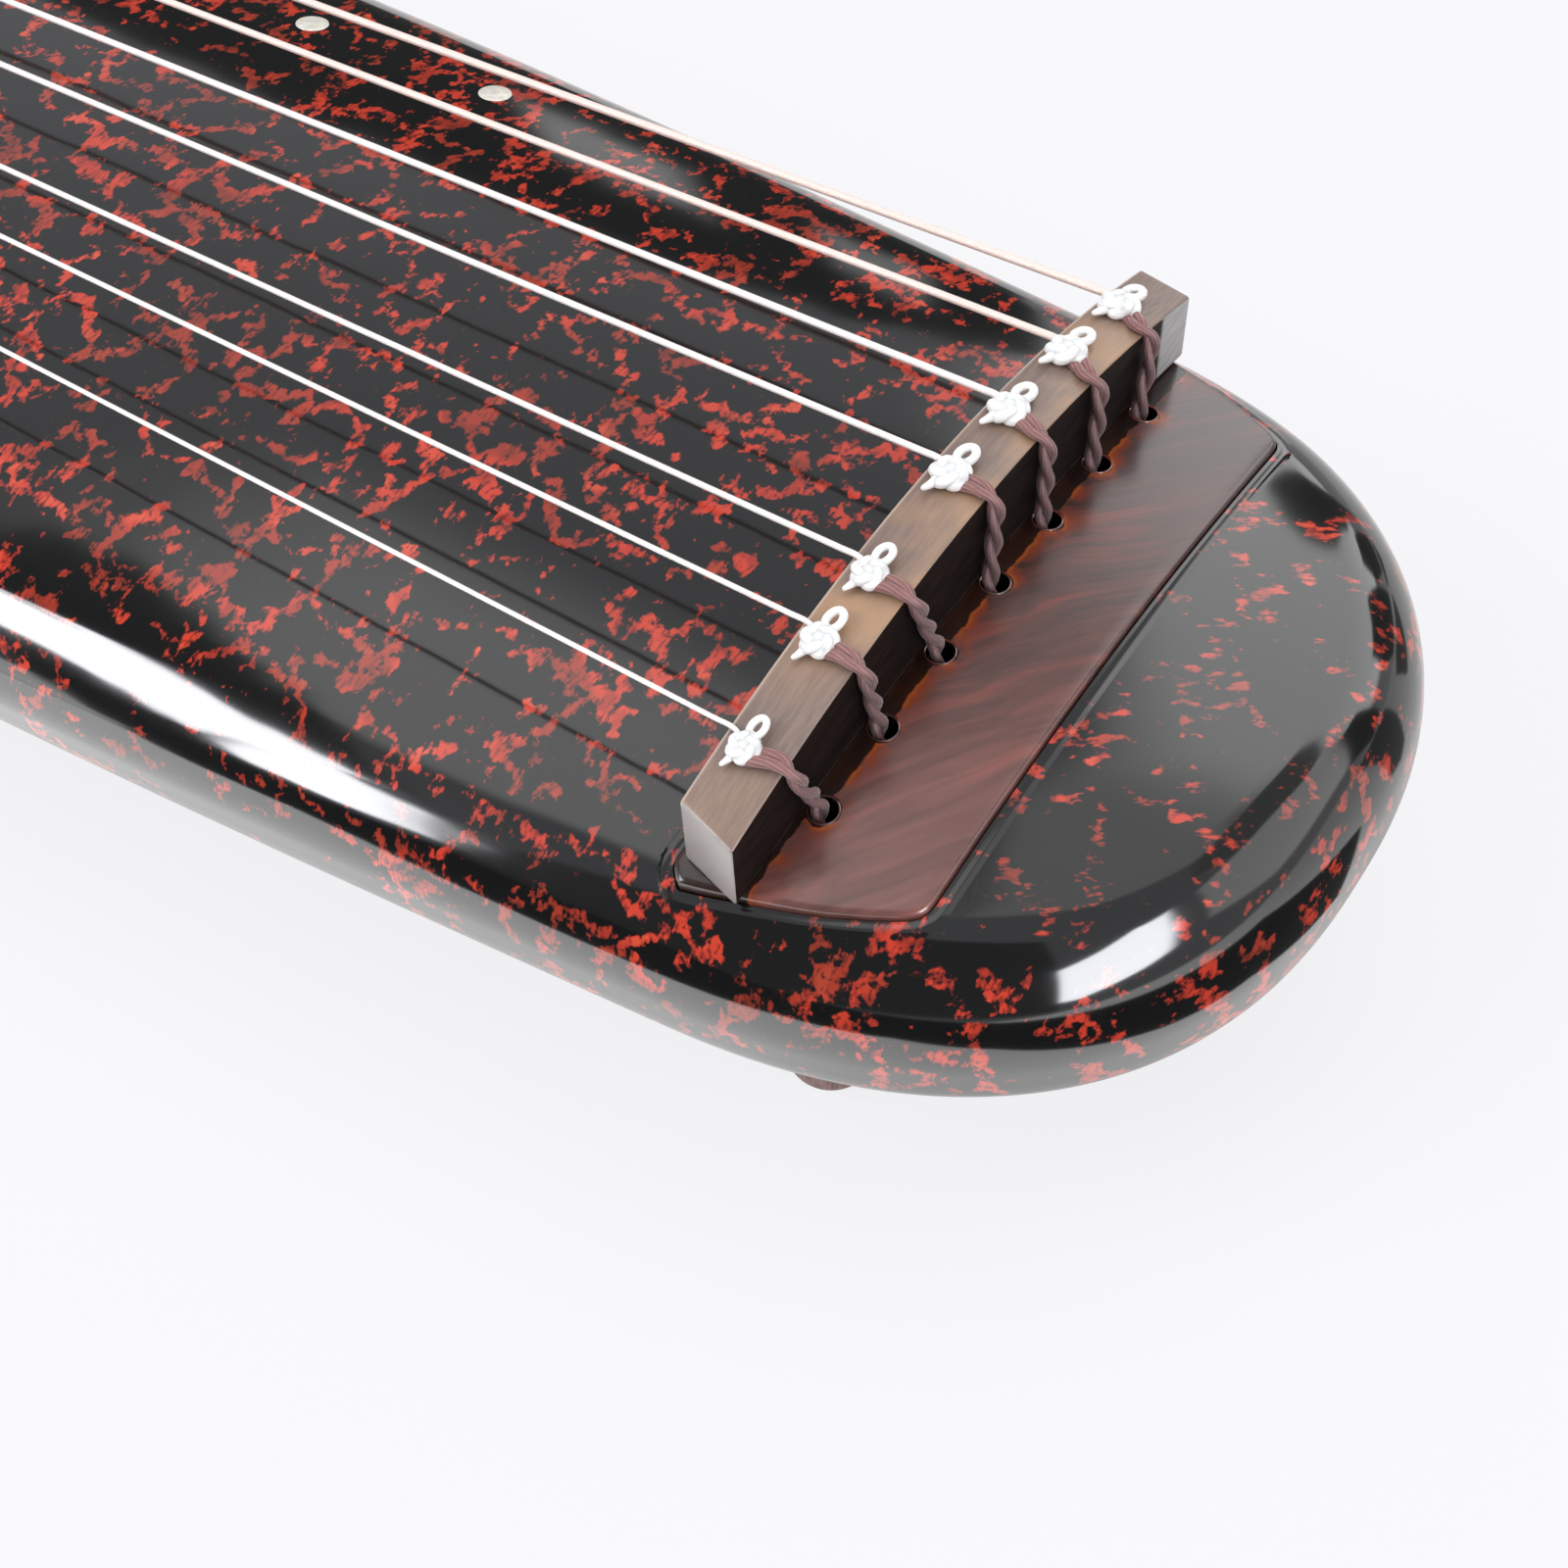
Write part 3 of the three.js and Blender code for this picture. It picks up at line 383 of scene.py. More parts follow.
class Finish:
    """A procedural material being built: each method adds nodes and gives the last one's value."""

    def __init__(self, name):
        self.material = bpy.data.materials.new(name)
        self.material.use_nodes = True
        self.tree = self.material.node_tree
        self.tree.nodes.clear()

    def node(self, kind, inputs=None, output=0, **settings):
        made = self.tree.nodes.new("ShaderNode" + kind)
        for key, value in settings.items():
            setattr(made, key, value)
        for key, value in (inputs or {}).items():
            if isinstance(value, Value):
                self.tree.links.new(value.socket, made.inputs[key])
            else:
                made.inputs[key].default_value = value
        return Value(self, made.outputs[output])

    def place(self, kind="Object"):
        return self.node("TexCoord", output=kind)

    def millimetres(self):
        """The place on the object in millimetres."""
        return self.mapped(self.place(), (1000, 1000, 1000))

    def mapped(self, vector, scale=(1, 1, 1), turn=0, shift=(0, 0, 0)):
        """Turned about Z and shifted first and then scaled, so that scale follows the turned axes."""
        moved = self.node("Mapping", {"Vector": vector, "Rotation": (0, 0, np.radians(turn)), "Location": shift})
        return self.node("Mapping", {"Vector": moved, "Scale": scale})

    def noise(self, vector, scale, detail=2.0, roughness=0.5, shift=None):
        if shift:
            vector = self.mapped(vector, shift=shift)
        inputs = {"Vector": vector, "Scale": scale, "Detail": detail, "Roughness": roughness}
        return self.node("TexNoise", inputs, "Fac")

    def grain(self, vector, scale, detail=2.0, roughness=0.5, turn=0):
        """Noise with a scale of its own along each axis, the axes turned about Z."""
        return self.noise(self.mapped(vector, scale, turn), 1.0, detail, roughness)

    def warped(self, vector, scale, amount):
        """The place moved about by a slow noise, by up to about half the amount each way."""
        drift = self.node("TexNoise", {"Vector": vector, "Scale": scale, "Detail": 2.0}, "Color")
        centred = self.node("VectorMath", {0: drift, 1: (0.5, 0.5, 0.5)}, operation="SUBTRACT")
        scaled = self.node("VectorMath", {0: centred, "Scale": amount}, operation="SCALE")
        return self.node("VectorMath", {0: vector, 1: scaled}, operation="ADD")

    def math(self, operation, first, second=0.0, third=0.0):
        return self.node("Math", {0: first, 1: second, 2: third}, operation=operation)

    def times_plus(self, first, second, third):
        return self.math("MULTIPLY_ADD", first, second, third)

    def step(self, value, low, high, start=0.0, end=1.0):
        """Goes smoothly from start to end while the value goes from low to high."""
        inputs = {"Value": value, "From Min": low, "From Max": high, "To Min": start, "To Max": end}
        return self.node("MapRange", inputs, interpolation_type="SMOOTHSTEP")

    def mix(self, share, first, second):
        """A share of the way from the first colour to the second, each a value or six hex digits."""
        first, second = (colour(one) if isinstance(one, str) else one for one in (first, second))
        return self.node("Mix", {0: share, 6: first, 7: second}, 2, data_type="RGBA")

    def axis(self, vector, which):
        return self.node("SeparateXYZ", {0: vector}, which)

    def bump(self, height, distance, strength):
        return self.node("Bump", {"Height": height, "Distance": distance, "Strength": strength})

    def surface(self, base, roughness, normal=None, **sockets):
        """Ends the material with a principled shader; underscores stand for spaces in the other sockets' names."""
        inputs = {"Base Color": base, "Roughness": roughness}
        inputs.update((key.replace("_", " "), value) for key, value in sockets.items())
        if normal:
            inputs["Normal"] = normal
        return self.end(self.node("BsdfPrincipled", inputs))

    def end(self, shader):
        output = self.tree.nodes.new("ShaderNodeOutputMaterial")
        self.tree.links.new(shader.socket, output.inputs[0])
        return self.material


def fleck_height(f, place, cell, width, lift, clump, stroke, turn):
    """How far a place stands above the black as the flecks are laid on: highest in small clumps along broken
    chains, which are the edges of irregular cells, with a slow cloud over them and finer strokes inside. Scales
    are per millimetre, and the width of a chain is in millimetres."""
    chain = f.node("TexVoronoi", {"Vector": f.warped(place, 0.09, 8.0), "Scale": cell, "Randomness": 0.85},
                   "Distance", feature="DISTANCE_TO_EDGE")
    unbroken = f.step(f.noise(place, 0.13, 1.0, shift=(17, 3, 9)), 0.36, 0.5)
    near_chain = f.step(chain, 0.0, width * cell, lift, 0.0) * unbroken
    cloud = f.noise(place, 0.045, 1.0, shift=(31, 7, 3))
    blot = f.grain(f.warped(place, 0.35, 1.8), clump, 3.0, 0.52, turn)
    fibres = f.grain(f.warped(place, 0.5, 0.8), stroke, 1.0, 0.5, turn)
    height = f.times_plus(cloud - 0.5, 0.3, near_chain + blot)
    return f.times_plus(fibres - 0.5, 0.2, height), fibres


def lacquer_finish(name, flecks=True):
    """Polished black lacquer with vermilion flecks, and dull ones deeper down. Over the belly a fleck is a clump
    of short strokes across the body, on the head's top a longer and sparser brush mark that slants."""
    f = Finish(name)
    place = f.millimetres()
    ripple = f.bump(f.noise(place, 0.05, 1.0), 0.0004, 0.25)
    if not flecks:
        return f.surface(colour(LACQUER_BLACK), LACQUER_ROUGHNESS, ripple)
    x, y, z = (f.axis(place, k) for k in range(3))
    belly, belly_fibres = fleck_height(f, place, 0.085, 3.4, 0.26, (0.46, 0.38, 0.48), (1.6, 0.45, 0.8), 0)
    head, head_fibres = fleck_height(f, place, 0.05, 4.0, 0.2, (0.27, 0.48, 0.36), (0.42, 1.4, 0.6), -38)
    on_head = f.step(x, 562, 572) * f.step(z, 66, 69)
    off_head = 1.0 - on_head
    near_edge = f.step(y, -62, -76) * f.step(x, 490, 525, -0.05, 0.02)
    round_corner = f.step(x, 548, 560) * f.step(y, -48, -58, 0.0, -0.04)
    height = belly * off_head + (head - 0.02) * on_head + (near_edge + round_corner)
    fibres = belly_fibres * off_head + head_fibres * on_head
    bright, under, core = f.step(height, 0.69, 0.72), f.step(height, 0.645, 0.705), f.step(height, 0.718, 0.8)
    tone = f.noise(place, 0.16, shift=(5, 11, 2))
    red = f.mix(core, "85281f", "c43c28")
    red = f.mix(f.step(tone, 0.5, 0.36) * 0.5, red, "6e2018")
    red = f.mix(f.step(tone, 0.56, 0.7) * core, red, "d04e36")
    red = f.mix(f.step(fibres, 0.46, 0.34) * 0.6, red, "4a1510")
    dull = f.step(f.noise(place, 0.06, 1.0, shift=(2, 9, 1)), 0.5, 0.6)
    red = f.mix(dull * 0.3, red, "6b3424")
    base = f.mix(under * 0.4, LACQUER_BLACK, "451612")
    base = f.mix(bright * f.step(dull, 0, 1, 1.0, 0.75), base, red)
    return f.surface(base, LACQUER_ROUGHNESS, ripple)


def rosewood_finish():
    """Varnished dark wood with red streaks along its grain."""
    f = Finish("rosewood")
    place = f.millimetres()
    drift = f.warped(place, 0.03, 8.0)
    grain = f.grain(drift, (0.055, 0.55, 0.4), 4.0, 0.6)
    fine = f.grain(drift, (0.12, 2.6, 2.0), 3.0, 0.55)
    cloud = f.noise(place, 0.035, shift=(13, 5, 3))
    base = f.mix(f.step(grain, 0.35, 0.65), "33201d", "54302a")
    base = f.mix(f.step(f.times_plus(cloud, 0.6, fine), 0.72, 0.92) * 0.5, base, "a03a20")
    base = f.mix(f.step(fine, 0.56, 0.4) * 0.35, base, "201311")
    return f.surface(base, 0.28, f.bump(fine, 0.00006, 0.5), Coat_Weight=0.85, Coat_Roughness=0.09)


def strip_finish():
    """Grey-brown wood under a soft gloss, with long soft streaks that slant along it, and a painted sheen that greys
    it towards the far end and lightens it towards the near end. At the bridge's foot and round the holes it is
    painted nearly black as shade and the bridge's dark reflection, and a broken orange line of pooled varnish follows
    that painted shade."""
    f = Finish("strip_rosewood")
    place = f.millimetres()
    x, y = f.axis(place, 0), f.axis(place, 1)
    drift = f.warped(place, 0.022, 14.0)
    streak = f.grain(drift, (0.02, 0.3, 0.24), 3.0, 0.6, -52)
    grain = f.grain(drift, (0.06, 1.1, 0.9), turn=-52)
    cloud = f.noise(place, 0.03, 1.0, shift=(13, 5, 3))
    base = f.mix(f.step(streak, 0.3, 0.7), "3f2a27", "58332d")
    base = f.mix(f.step(f.times_plus(cloud - 0.5, 0.9, streak), 0.54, 0.74) * 0.55, base, "84382a")
    base = f.mix(f.step(grain, 0.5, 0.36) * 0.3, base, "271816")
    # Painted sheen: greyer towards the far end and paler towards the near end.
    base = f.mix(f.step(y, 2, 60, 0.0, 0.7), base, "44393a")
    base = f.mix(f.step(y, 10, -45, 0.0, 0.5), base, f.mix(f.step(streak, 0.24, 0.74), "6a4640", "8e5d57"))
    wander = (f.noise(place, 0.35) - 0.5) * 1.6
    from_face = x - 1000 * (BRIDGE_X + BRIDGE_THICKNESS) - f.step(y, -44, -54, 2.7, 0.4)
    across, along = x - 1000 * PEG_X, f.math("PINGPONG", y, 500 * PEG_SPACING)
    from_hole = f.math("SQRT", f.times_plus(across, across, along * along)) - 2.55
    from_hole = from_hole + f.step(f.math("ABSOLUTE", y), 56.5, 57.5, 0.0, 10.0)
    reach = f.math("MINIMUM", from_face, from_hole) + wander
    broken = f.step(f.noise(place, 0.16, shift=(4, 2, 8)), 0.44, 0.58)
    base = f.mix(f.step(reach, 0.6, 3.2, 1.0, 0.0) * (broken * 0.8), base, "8a3a1c")
    base = f.mix(f.step(reach, 0.4, 1.0, 1.0, 0.0) * f.step(broken, 0, 1, 0.1, 1.0), base, "9c4c20")
    # Painted shade and the bridge's dark reflection: nearly black at the bridge's foot and round the holes.
    base = f.mix(f.step(reach, 0.0, 0.35, 1.0, 0.0) * 0.95, base, "120a08")
    return f.surface(base, 0.24, f.bump(grain, 0.00005, 0.4), Specular_IOR_Level=0.45)


def bridge_finish():
    """Satin grey-brown wood with fine grain along the bar, warmer in its middle, painted light grey at its slanted
    near end where the light falls on that face, and with a painted highlight along its inner top edge."""
    f = Finish("bridge_wood")
    place = f.millimetres()
    x, y, z = (f.axis(place, k) for k in range(3))
    fine = f.grain(f.warped(place, 0.05, 3.0), (1.6, 0.12, 0.5), 4.0, 0.55)
    cloud = f.noise(place, 0.05, 3.0, shift=(3, 1, 9))
    base = f.mix(f.step(fine, 0.3, 0.7), "6c5b54", "806b60")
    middle = f.step(y, -52, -20) * f.step(y, 66, 30)
    base = f.mix(f.step(cloud, 0.36, 0.62) * f.step(middle, 0, 1, 0.15, 0.8), base, "ab8663")
    inner_x = 1000 * BRIDGE_X
    inside_end = y + f.times_plus(x - inner_x, BRIDGE_END_SLANT / BRIDGE_THICKNESS,
                                  1000 * (BRIDGE_HALF_LENGTH - BRIDGE_END_SLANT))
    # Painted light: the slanted near end face is lighter grey, as lit from the near side.
    base = f.mix(f.step(inside_end, 0.5, 0.2, 0.0, 0.8), base, "858180")
    # A thin pale line along the inner top edge: a painted highlight.
    below_top = 1000 * (TOP_Z + BRIDGE_CROWN) - f.times_plus(y * y, 0.0005 / BRIDGE_TOP_RADIUS, z)
    inner_edge_glint = f.step(x, inner_x + 0.35, inner_x + 0.75, 1.0, 0.0) * f.step(below_top, 0.5, 0.9, 1.0, 0.0)
    base = f.mix(inner_edge_glint * 0.7, base, "c9b6a8")
    return f.surface(base, 0.42, f.bump(fine, 0.00008, 0.5))


def bridge_face_finish():
    """The bridge's outer face, a copy of the wood painted for how light falls on that side: nearly black and dull up
    to the last cord as painted shade and dark reflection, painted grey beyond it as a reflection of the pale room,
    with a broken pale line along its foot as a painted highlight."""
    f = Finish("bridge_face_painted_shade")
    place = f.millimetres()
    y, z = f.axis(place, 1), f.axis(place, 2)
    fine = f.grain(f.warped(place, 0.05, 3.0), (1.0, 0.12, 1.4), 4.0, 0.55)
    above_foot = f.times_plus(y * y, 0.0005 / ARCH_RADIUS, z) - 1000 * (TOP_Z + STRIP_PROUD + GAP)
    # A broken pale line along the foot: a painted highlight.
    foot_glint = f.step(above_foot, 0.3, 0.7, 1.0, 0.0) * f.step(f.noise(place, 0.16, 1.0, shift=(9, 2, 5)), 0.4, 0.5)
    streaks = f.step(fine, 0.35, 0.7)
    # Painted shade and dark reflection up to the last cord, a painted grey reflection beyond it.
    base = f.mix(f.step(y, 58.0, 59.5), f.mix(streaks, "0e0807", "1f1411"), f.mix(streaks, "a4a2a2", "b9b7b7"))
    base = f.mix(foot_glint * 0.85, base, "8b7672")
    return f.surface(base, 0.55, f.bump(fine, 0.00008, 0.5), Specular_IOR_Level=0.06)


def shell_finish():
    """Off-white shell with faint pink and green clouds under a polished surface."""
    f = Finish("shell_inlay")
    place = f.millimetres()
    base = f.mix(f.step(f.noise(f.warped(place, 0.5, 2.0), 0.7, 3.0), 0.35, 0.65), "dcd8cc", "f1eee2")
    base = f.mix(f.step(f.noise(place, 0.4, shift=(7, 3, 1)), 0.5, 0.7) * 0.3, base, "d9c8c4")
    return f.surface(base, 0.25, Coat_Weight=1.0, Coat_Roughness=0.05)


def string_finish(name, pale, pitch):
    """Pale smooth winding: fine turns round the string, with painted shade a little darker in the grooves between
    them.
    """
    f = Finish(name)
    uv = f.place("UV")
    ridge = f.math("PINGPONG", f.times_plus(f.axis(uv, 1), 1 / pitch, f.axis(uv, 0)), 0.5)
    # The darker colour between the turns is painted shade in the grooves.
    return f.surface(f.mix(f.step(ridge, 0.0, 0.25), "dccbc3", pale), 0.32, f.bump(ridge, 0.00008, 0.6),
                     Subsurface_Weight=0.35, Subsurface_Radius=(0.9, 0.6, 0.5), Subsurface_Scale=0.0012)


def silk_fibres(f, along, around, fluff_scale, fluff_detail):
    """Fibres that run along a strand and round it, so many turns each way, and a fluff over them."""
    uv = f.place("UV")
    fibre = f.math("PINGPONG", f.times_plus(f.axis(uv, 1), along, f.axis(uv, 0) * around), 0.5)
    fluff = f.noise(f.millimetres(), fluff_scale, fluff_detail)
    return fibre, fluff


def knot_finish():
    """White pressed silk: soft strands with faint fibres and a bluish shade in their creases."""
    f = Finish("knot_silk")
    fibre, fluff = silk_fibres(f, 500.0, 7.0, 1.2, 2.0)
    return f.surface(f.mix(f.step(fibre, 0.0, 0.4), "e9ebee", "fbf8f5"), 0.6, f.bump(fibre + fluff, 0.0001, 0.4),
                     Subsurface_Weight=0.4, Subsurface_Radius=(0.9, 0.8, 0.8), Subsurface_Scale=0.0015)


def cord_finish():
    """Twisted silk: purple-brown with pinkish fibres that run round each strand, with painted shade making it darker
    towards the hole.
    """
    f = Finish("cord_silk")
    fibre, fluff = silk_fibres(f, 260.0, 8.0, 1.1, 3.0)
    base = f.mix(f.step(fibre, 0.05, 0.45), "6b4243", "94655f")
    base = f.mix(f.step(fluff, 0.45, 0.7) * 0.6, base, "75494a")
    # Painted shade: darker past its first centimetre or so, where it runs down beside the bridge into the hole.
    base = f.mix(f.step(f.axis(f.place("UV"), 1), 0.005, 0.013, 0.0, 0.6), base, "40262a")
    return f.surface(base, 0.65, f.bump(fibre + fluff, 0.0001, 0.5), Sheen_Weight=0.4, Sheen_Roughness=0.4)


def bare_wood_finish():
    """Planed pale wood with straight grain along the body."""
    f = Finish("bare_softwood")
    drift = f.warped(f.millimetres(), 0.02, 10.0)
    fine = f.grain(drift, (0.1, 3.0, 3.0))
    base = f.mix(f.step(f.grain(drift, (0.02, 0.45, 0.45), 3.0), 0.35, 0.65), "a87f50", "c9a271")
    base = f.mix(f.step(fine, 0.5, 0.7) * 0.35, base, "8a6238")
    return f.surface(base, 0.75, f.bump(fine, 0.0001, 0.5))


def peg_finish():
    """Smooth grey-brown wood with fine upright grain, only faintly glossy."""
    f = Finish("peg_wood")
    fine = f.grain(f.warped(f.millimetres(), 0.08, 3.0), (1.4, 1.4, 0.12), 3.0, 0.55)
    return f.surface(f.mix(f.step(fine, 0.36, 0.64), "6f5450", "927370"), 0.4, f.bump(fine, 0.00008, 0.5))


lacquer = lacquer_finish("flecked_lacquer")
plain_lacquer = lacquer_finish("black_lacquer", flecks=False)
rosewood = rosewood_finish()
strip_wood = strip_finish()
bridge_wood = bridge_finish()
painted_shade_face = bridge_face_finish()
shell = shell_finish()
pink_string = string_finish("pink_string_winding", "f9e2da", 0.00045)
white_string = string_finish("white_string_winding", "fbf8f6", 0.00035)
knot_silk = knot_finish()
silk = cord_finish()
bare_wood = bare_wood_finish()
peg_wood = peg_finish()


def settle(piece, material, slot, *nodes, body="instrument"):
    """Gives a finished piece its material, lets it ride on its body and stand for its CAD nodes. The slot is not
    used.
    """
    piece.data.materials.clear()
    piece.data.materials.append(material)
    return seat(piece, slot, *nodes, body=body)


def seat(piece, slot, *nodes, body="instrument"):
    """The same for a piece that already has its materials."""
    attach(piece, body)
    if nodes:
        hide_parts(*nodes)
    return piece


# ---------------------------------------------------------------- body

def side_half_width(x):
    """Half the body's width: a quarter sine from the bridge to the shoulder, a quarter cosine on to the tail."""
    run = BRIDGE_X - x
    head = HEAD_HALF_WIDTH + (SHOULDER_HALF_WIDTH - HEAD_HALF_WIDTH) * np.sin(np.pi / 2 * run / SHOULDER_SETBACK)
    share = np.clip((run - SHOULDER_SETBACK) / (BRIDGE_X - SHOULDER_SETBACK - TAIL_TIP_X), 0, 1)
    tail = TAIL_HALF_WIDTH + (SHOULDER_HALF_WIDTH - TAIL_HALF_WIDTH) * np.cos(np.pi / 2 * share)
    return np.where(run < SHOULDER_SETBACK, head, tail)


def top_z(x, y):
    """Height of the arched top: a parabola across, falling a little past the strip."""
    beyond = np.maximum(x - STRIP_OUTER_X, 0) / (HEAD_TIP_X - STRIP_OUTER_X)
    return TOP_Z - y**2 / (2 * ARCH_RADIUS) - HEAD_FALL * beyond**1.5


def body_outline(tail=28, belly=120, head=72):
    """Stud side of the outline: a rounded square end, the long side, and a rounded head."""
    angle = np.linspace(0, np.pi / 2, tail, endpoint=False)
    tail_x = TAIL_TIP_X + TAIL_ROUNDING * (1 - np.cos(angle) ** (2 / TAIL_ROUNDNESS))
    tail_y = side_half_width(tail_x) * np.sin(angle) ** (2 / TAIL_ROUNDNESS)
    side_x = np.linspace(TAIL_TIP_X + TAIL_ROUNDING, BRIDGE_X, belly, endpoint=False)
    angle = np.linspace(0, np.pi / 2, head + 1)
    head_x = BRIDGE_X + (HEAD_TIP_X - BRIDGE_X) * np.sin(angle) ** (2 / HEAD_ROUNDNESS)
    head_y = side_half_width(head_x) * np.maximum(np.cos(angle), 0) ** (2 / HEAD_ROUNDNESS)
    head_y[-1] = 0
    return np.concatenate([tail_x, side_x, head_x]), np.concatenate([tail_y, side_half_width(side_x), head_y])


def body_half(lift=0.0):
    """Grid over the stud half of the body: middle of the underside, lower quarter ellipse, upper quarter ellipse,
    arched top. lift raises the top. Returns the grid and the row that lies on the boards' seam."""
    x, y = body_outline()
    past_x = np.concatenate([x[1:2], x, x[-2:-1]])
    past_y = np.concatenate([-y[1:2], y, -y[-2:-1]])
    along = unit(np.stack([past_x[2:] - past_x[:-2], past_y[2:] - past_y[:-2]], -1))
    out_x = np.where(y > 0, -along[:, 1] * np.sign(along[:, 0]), np.sign(x))
    out_y = np.where(y > 0, np.abs(along[:, 0]), 0)
    blend = np.clip((x - TAIL_TIP_X) / TAIL_BLEND, 0, 1)
    upper = TAIL_UPPER_ROUNDING + (UPPER_ROUNDING - TAIL_UPPER_ROUNDING) * blend
    lower = TAIL_LOWER_ROUNDING + (LOWER_ROUNDING - TAIL_LOWER_ROUNDING) * blend
    seam_angle = np.degrees(np.arcsin((SIDE_Z - SEAM_Z) / (SIDE_Z - BOTTOM_Z)))
    rows = []
    for angle in np.radians([90, 82, 74, 66, 58, 50, 42, 34, 26, seam_angle, 12, 6, 0]):
        inset = lower * (1 - np.cos(angle))
        height = SIDE_Z - (SIDE_Z - BOTTOM_Z) * np.sin(angle)
        rows.append(xyz(x - out_x * inset, y - out_y * inset, height))
    seam_row = 10
    shoulder = top_z(x, y) + lift
    for angle in np.radians(np.linspace(0, 90, 23)[1:]):
        inset = upper * (1 - np.cos(angle))
        in_x, in_y = x - out_x * inset, y - out_y * inset
        rows.append(xyz(in_x, in_y, top_z(in_x, in_y) + lift - (shoulder - SIDE_Z) * (1 - np.sin(angle))))
    inner = rows[-1]
    for share in np.linspace(1, 0, 27)[1:]:
        in_y = inner[:, 1] * share
        rows.append(xyz(inner[:, 0], in_y, top_z(inner[:, 0], in_y) + lift))
    underside = rows[0] * (1, 0, 1)
    return np.stack([underside, *rows], 1), seam_row


def closed_body(name, half):
    """Mirrors a half grid, whose first and last rows lie on the middle plane, into a closed body."""
    return grid_object(name, np.concatenate([half, half[:, -2:0:-1] * (1, -1, 1)], 1))


def stepped_ledge(name, grow):
    """The step cut into the tail for the panel and the horns, as an outline carried upwards."""
    panel, horn, y = PANEL_FRONT_X + grow, HORN_FRONT_X + grow, PANEL_HALF_WIDTH + grow
    outline = [(-FAR, -FAR), (horn, -FAR), (horn, -y), (panel, -y), (panel, y), (horn, y), (horn, FAR), (-FAR, FAR)]
    return prism(name, outline, LEDGE_Z, TOP_Z + 0.02)


def slot_outline(middle_x, length, width):
    """A slot with round ends: two half circles joined by straight sides."""
    angle = np.linspace(-np.pi / 2, np.pi / 2, 24)
    half, straight = width / 2, (length - width) / 2
    right = np.stack([middle_x + straight + half * np.cos(angle), half * np.sin(angle)], -1)
    left = np.stack([middle_x - straight - half * np.cos(angle), -half * np.sin(angle)], -1)
    return np.vstack([right, left])


def sound_box(name):
    """The hollow between the boards: an arched roof a soundboard below the top, with two lumps left in it."""
    x = np.linspace(TAIL_TIP_X + 0.078, BRIDGE_X - 0.042, 60)[:, None]
    half = side_half_width(x) - RIM
    y = half * np.linspace(1, -1, 33)
    roof, foot = xyz(x, y, top_z(x, y) - SOUNDBOARD), xyz(x, -half, SEAM_Z - 0.005)
    hollow = grid_object(name, np.concatenate([roof, foot, foot * (1, -1, 1)], 1), caps=True)
    for middle, length in SOUND_HOLES:
        reach = length / 2 + 0.014
        low = (middle - reach, -LUMP_HALF_WIDTH, TOP_Z - SOUNDBOARD - 0.005)
        cut(hollow, box("lump", low, (middle + reach, LUMP_HALF_WIDTH, ABOVE_Z)))
    return hollow


def cord_holes(name, low):
    """Seven round upright pins, one for each cord hole."""
    ring = CORD_HOLE_RADIUS * np.stack(circle(28), -1)
    return joined(name, *(prism(name, ring + (PEG_X, y), low, ABOVE_Z) for y in PEG_Y))


def recess_box(name, top):
    """The recess for the pegs, open below."""
    return box(name, (PEG_X - 0.014, -0.059, BELOW_Z), (PEG_X + 0.014, 0.059, top))


def cut_sockets(board, top):
    """The two sockets for the feet's blocks, up to a height."""
    for y in (-FOOT_Y, FOOT_Y):
        low, high = (FOOT_X - SOCKET_HALF, y - SOCKET_HALF, BELOW_Z), (FOOT_X + SOCKET_HALF, y + SOCKET_HALF, top)
        cut(board, box("socket", low, high), bare_wood)


def make_body():
    """Two boards under one coat of lacquer, with everything that is cut out of them."""
    half, seam = body_half()
    lid = half[:, seam:seam + 1] * (1, 0, 1)
    top = closed_body("lacquered_top_board", np.concatenate([lid, half[:, seam:]], 1))
    bottom = closed_body("lacquered_bottom_board", np.concatenate([half[:, :seam + 1], lid], 1))
    for board in (top, bottom):
        board.data.materials.append(lacquer)
    support_low = (TAIL_TIP_X - 0.02, -NUT_HALF_WIDTH - GAP, BELOW_Z)
    support_high = (NUT_OUTER_X + SUPPORT_THICKNESS + GAP, NUT_HALF_WIDTH + GAP, 0.07)
    cut(top, sound_box("hollow"), bare_wood)
    cut(top, strip_plate("strip_pocket", GAP), plain_lacquer)
    cut(top, recess_box("recess", RECESS_CEILING_Z), plain_lacquer)
    cut(top, stepped_ledge("ledge", GAP), plain_lacquer)
    cut(top, cord_holes("holes", SEAM_Z), plain_lacquer)
    cut_sockets(top, 0.0563)
    for board in (top, bottom):
        cut(board, box("support", support_low, support_high), plain_lacquer)
    cut(bottom, recess_box("recess", 0.05), plain_lacquer)
    for middle, length in SOUND_HOLES:
        cut(bottom, prism("sound_hole", slot_outline(middle, length, 0.027), BELOW_Z, 0.05), plain_lacquer)
    cut_sockets(bottom, 0.05)
    seat(top, "lacquer", "top_board")
    seat(bottom, "lacquer", "bottom_board")


# ---------------------------------------------------------------- strip and bridge

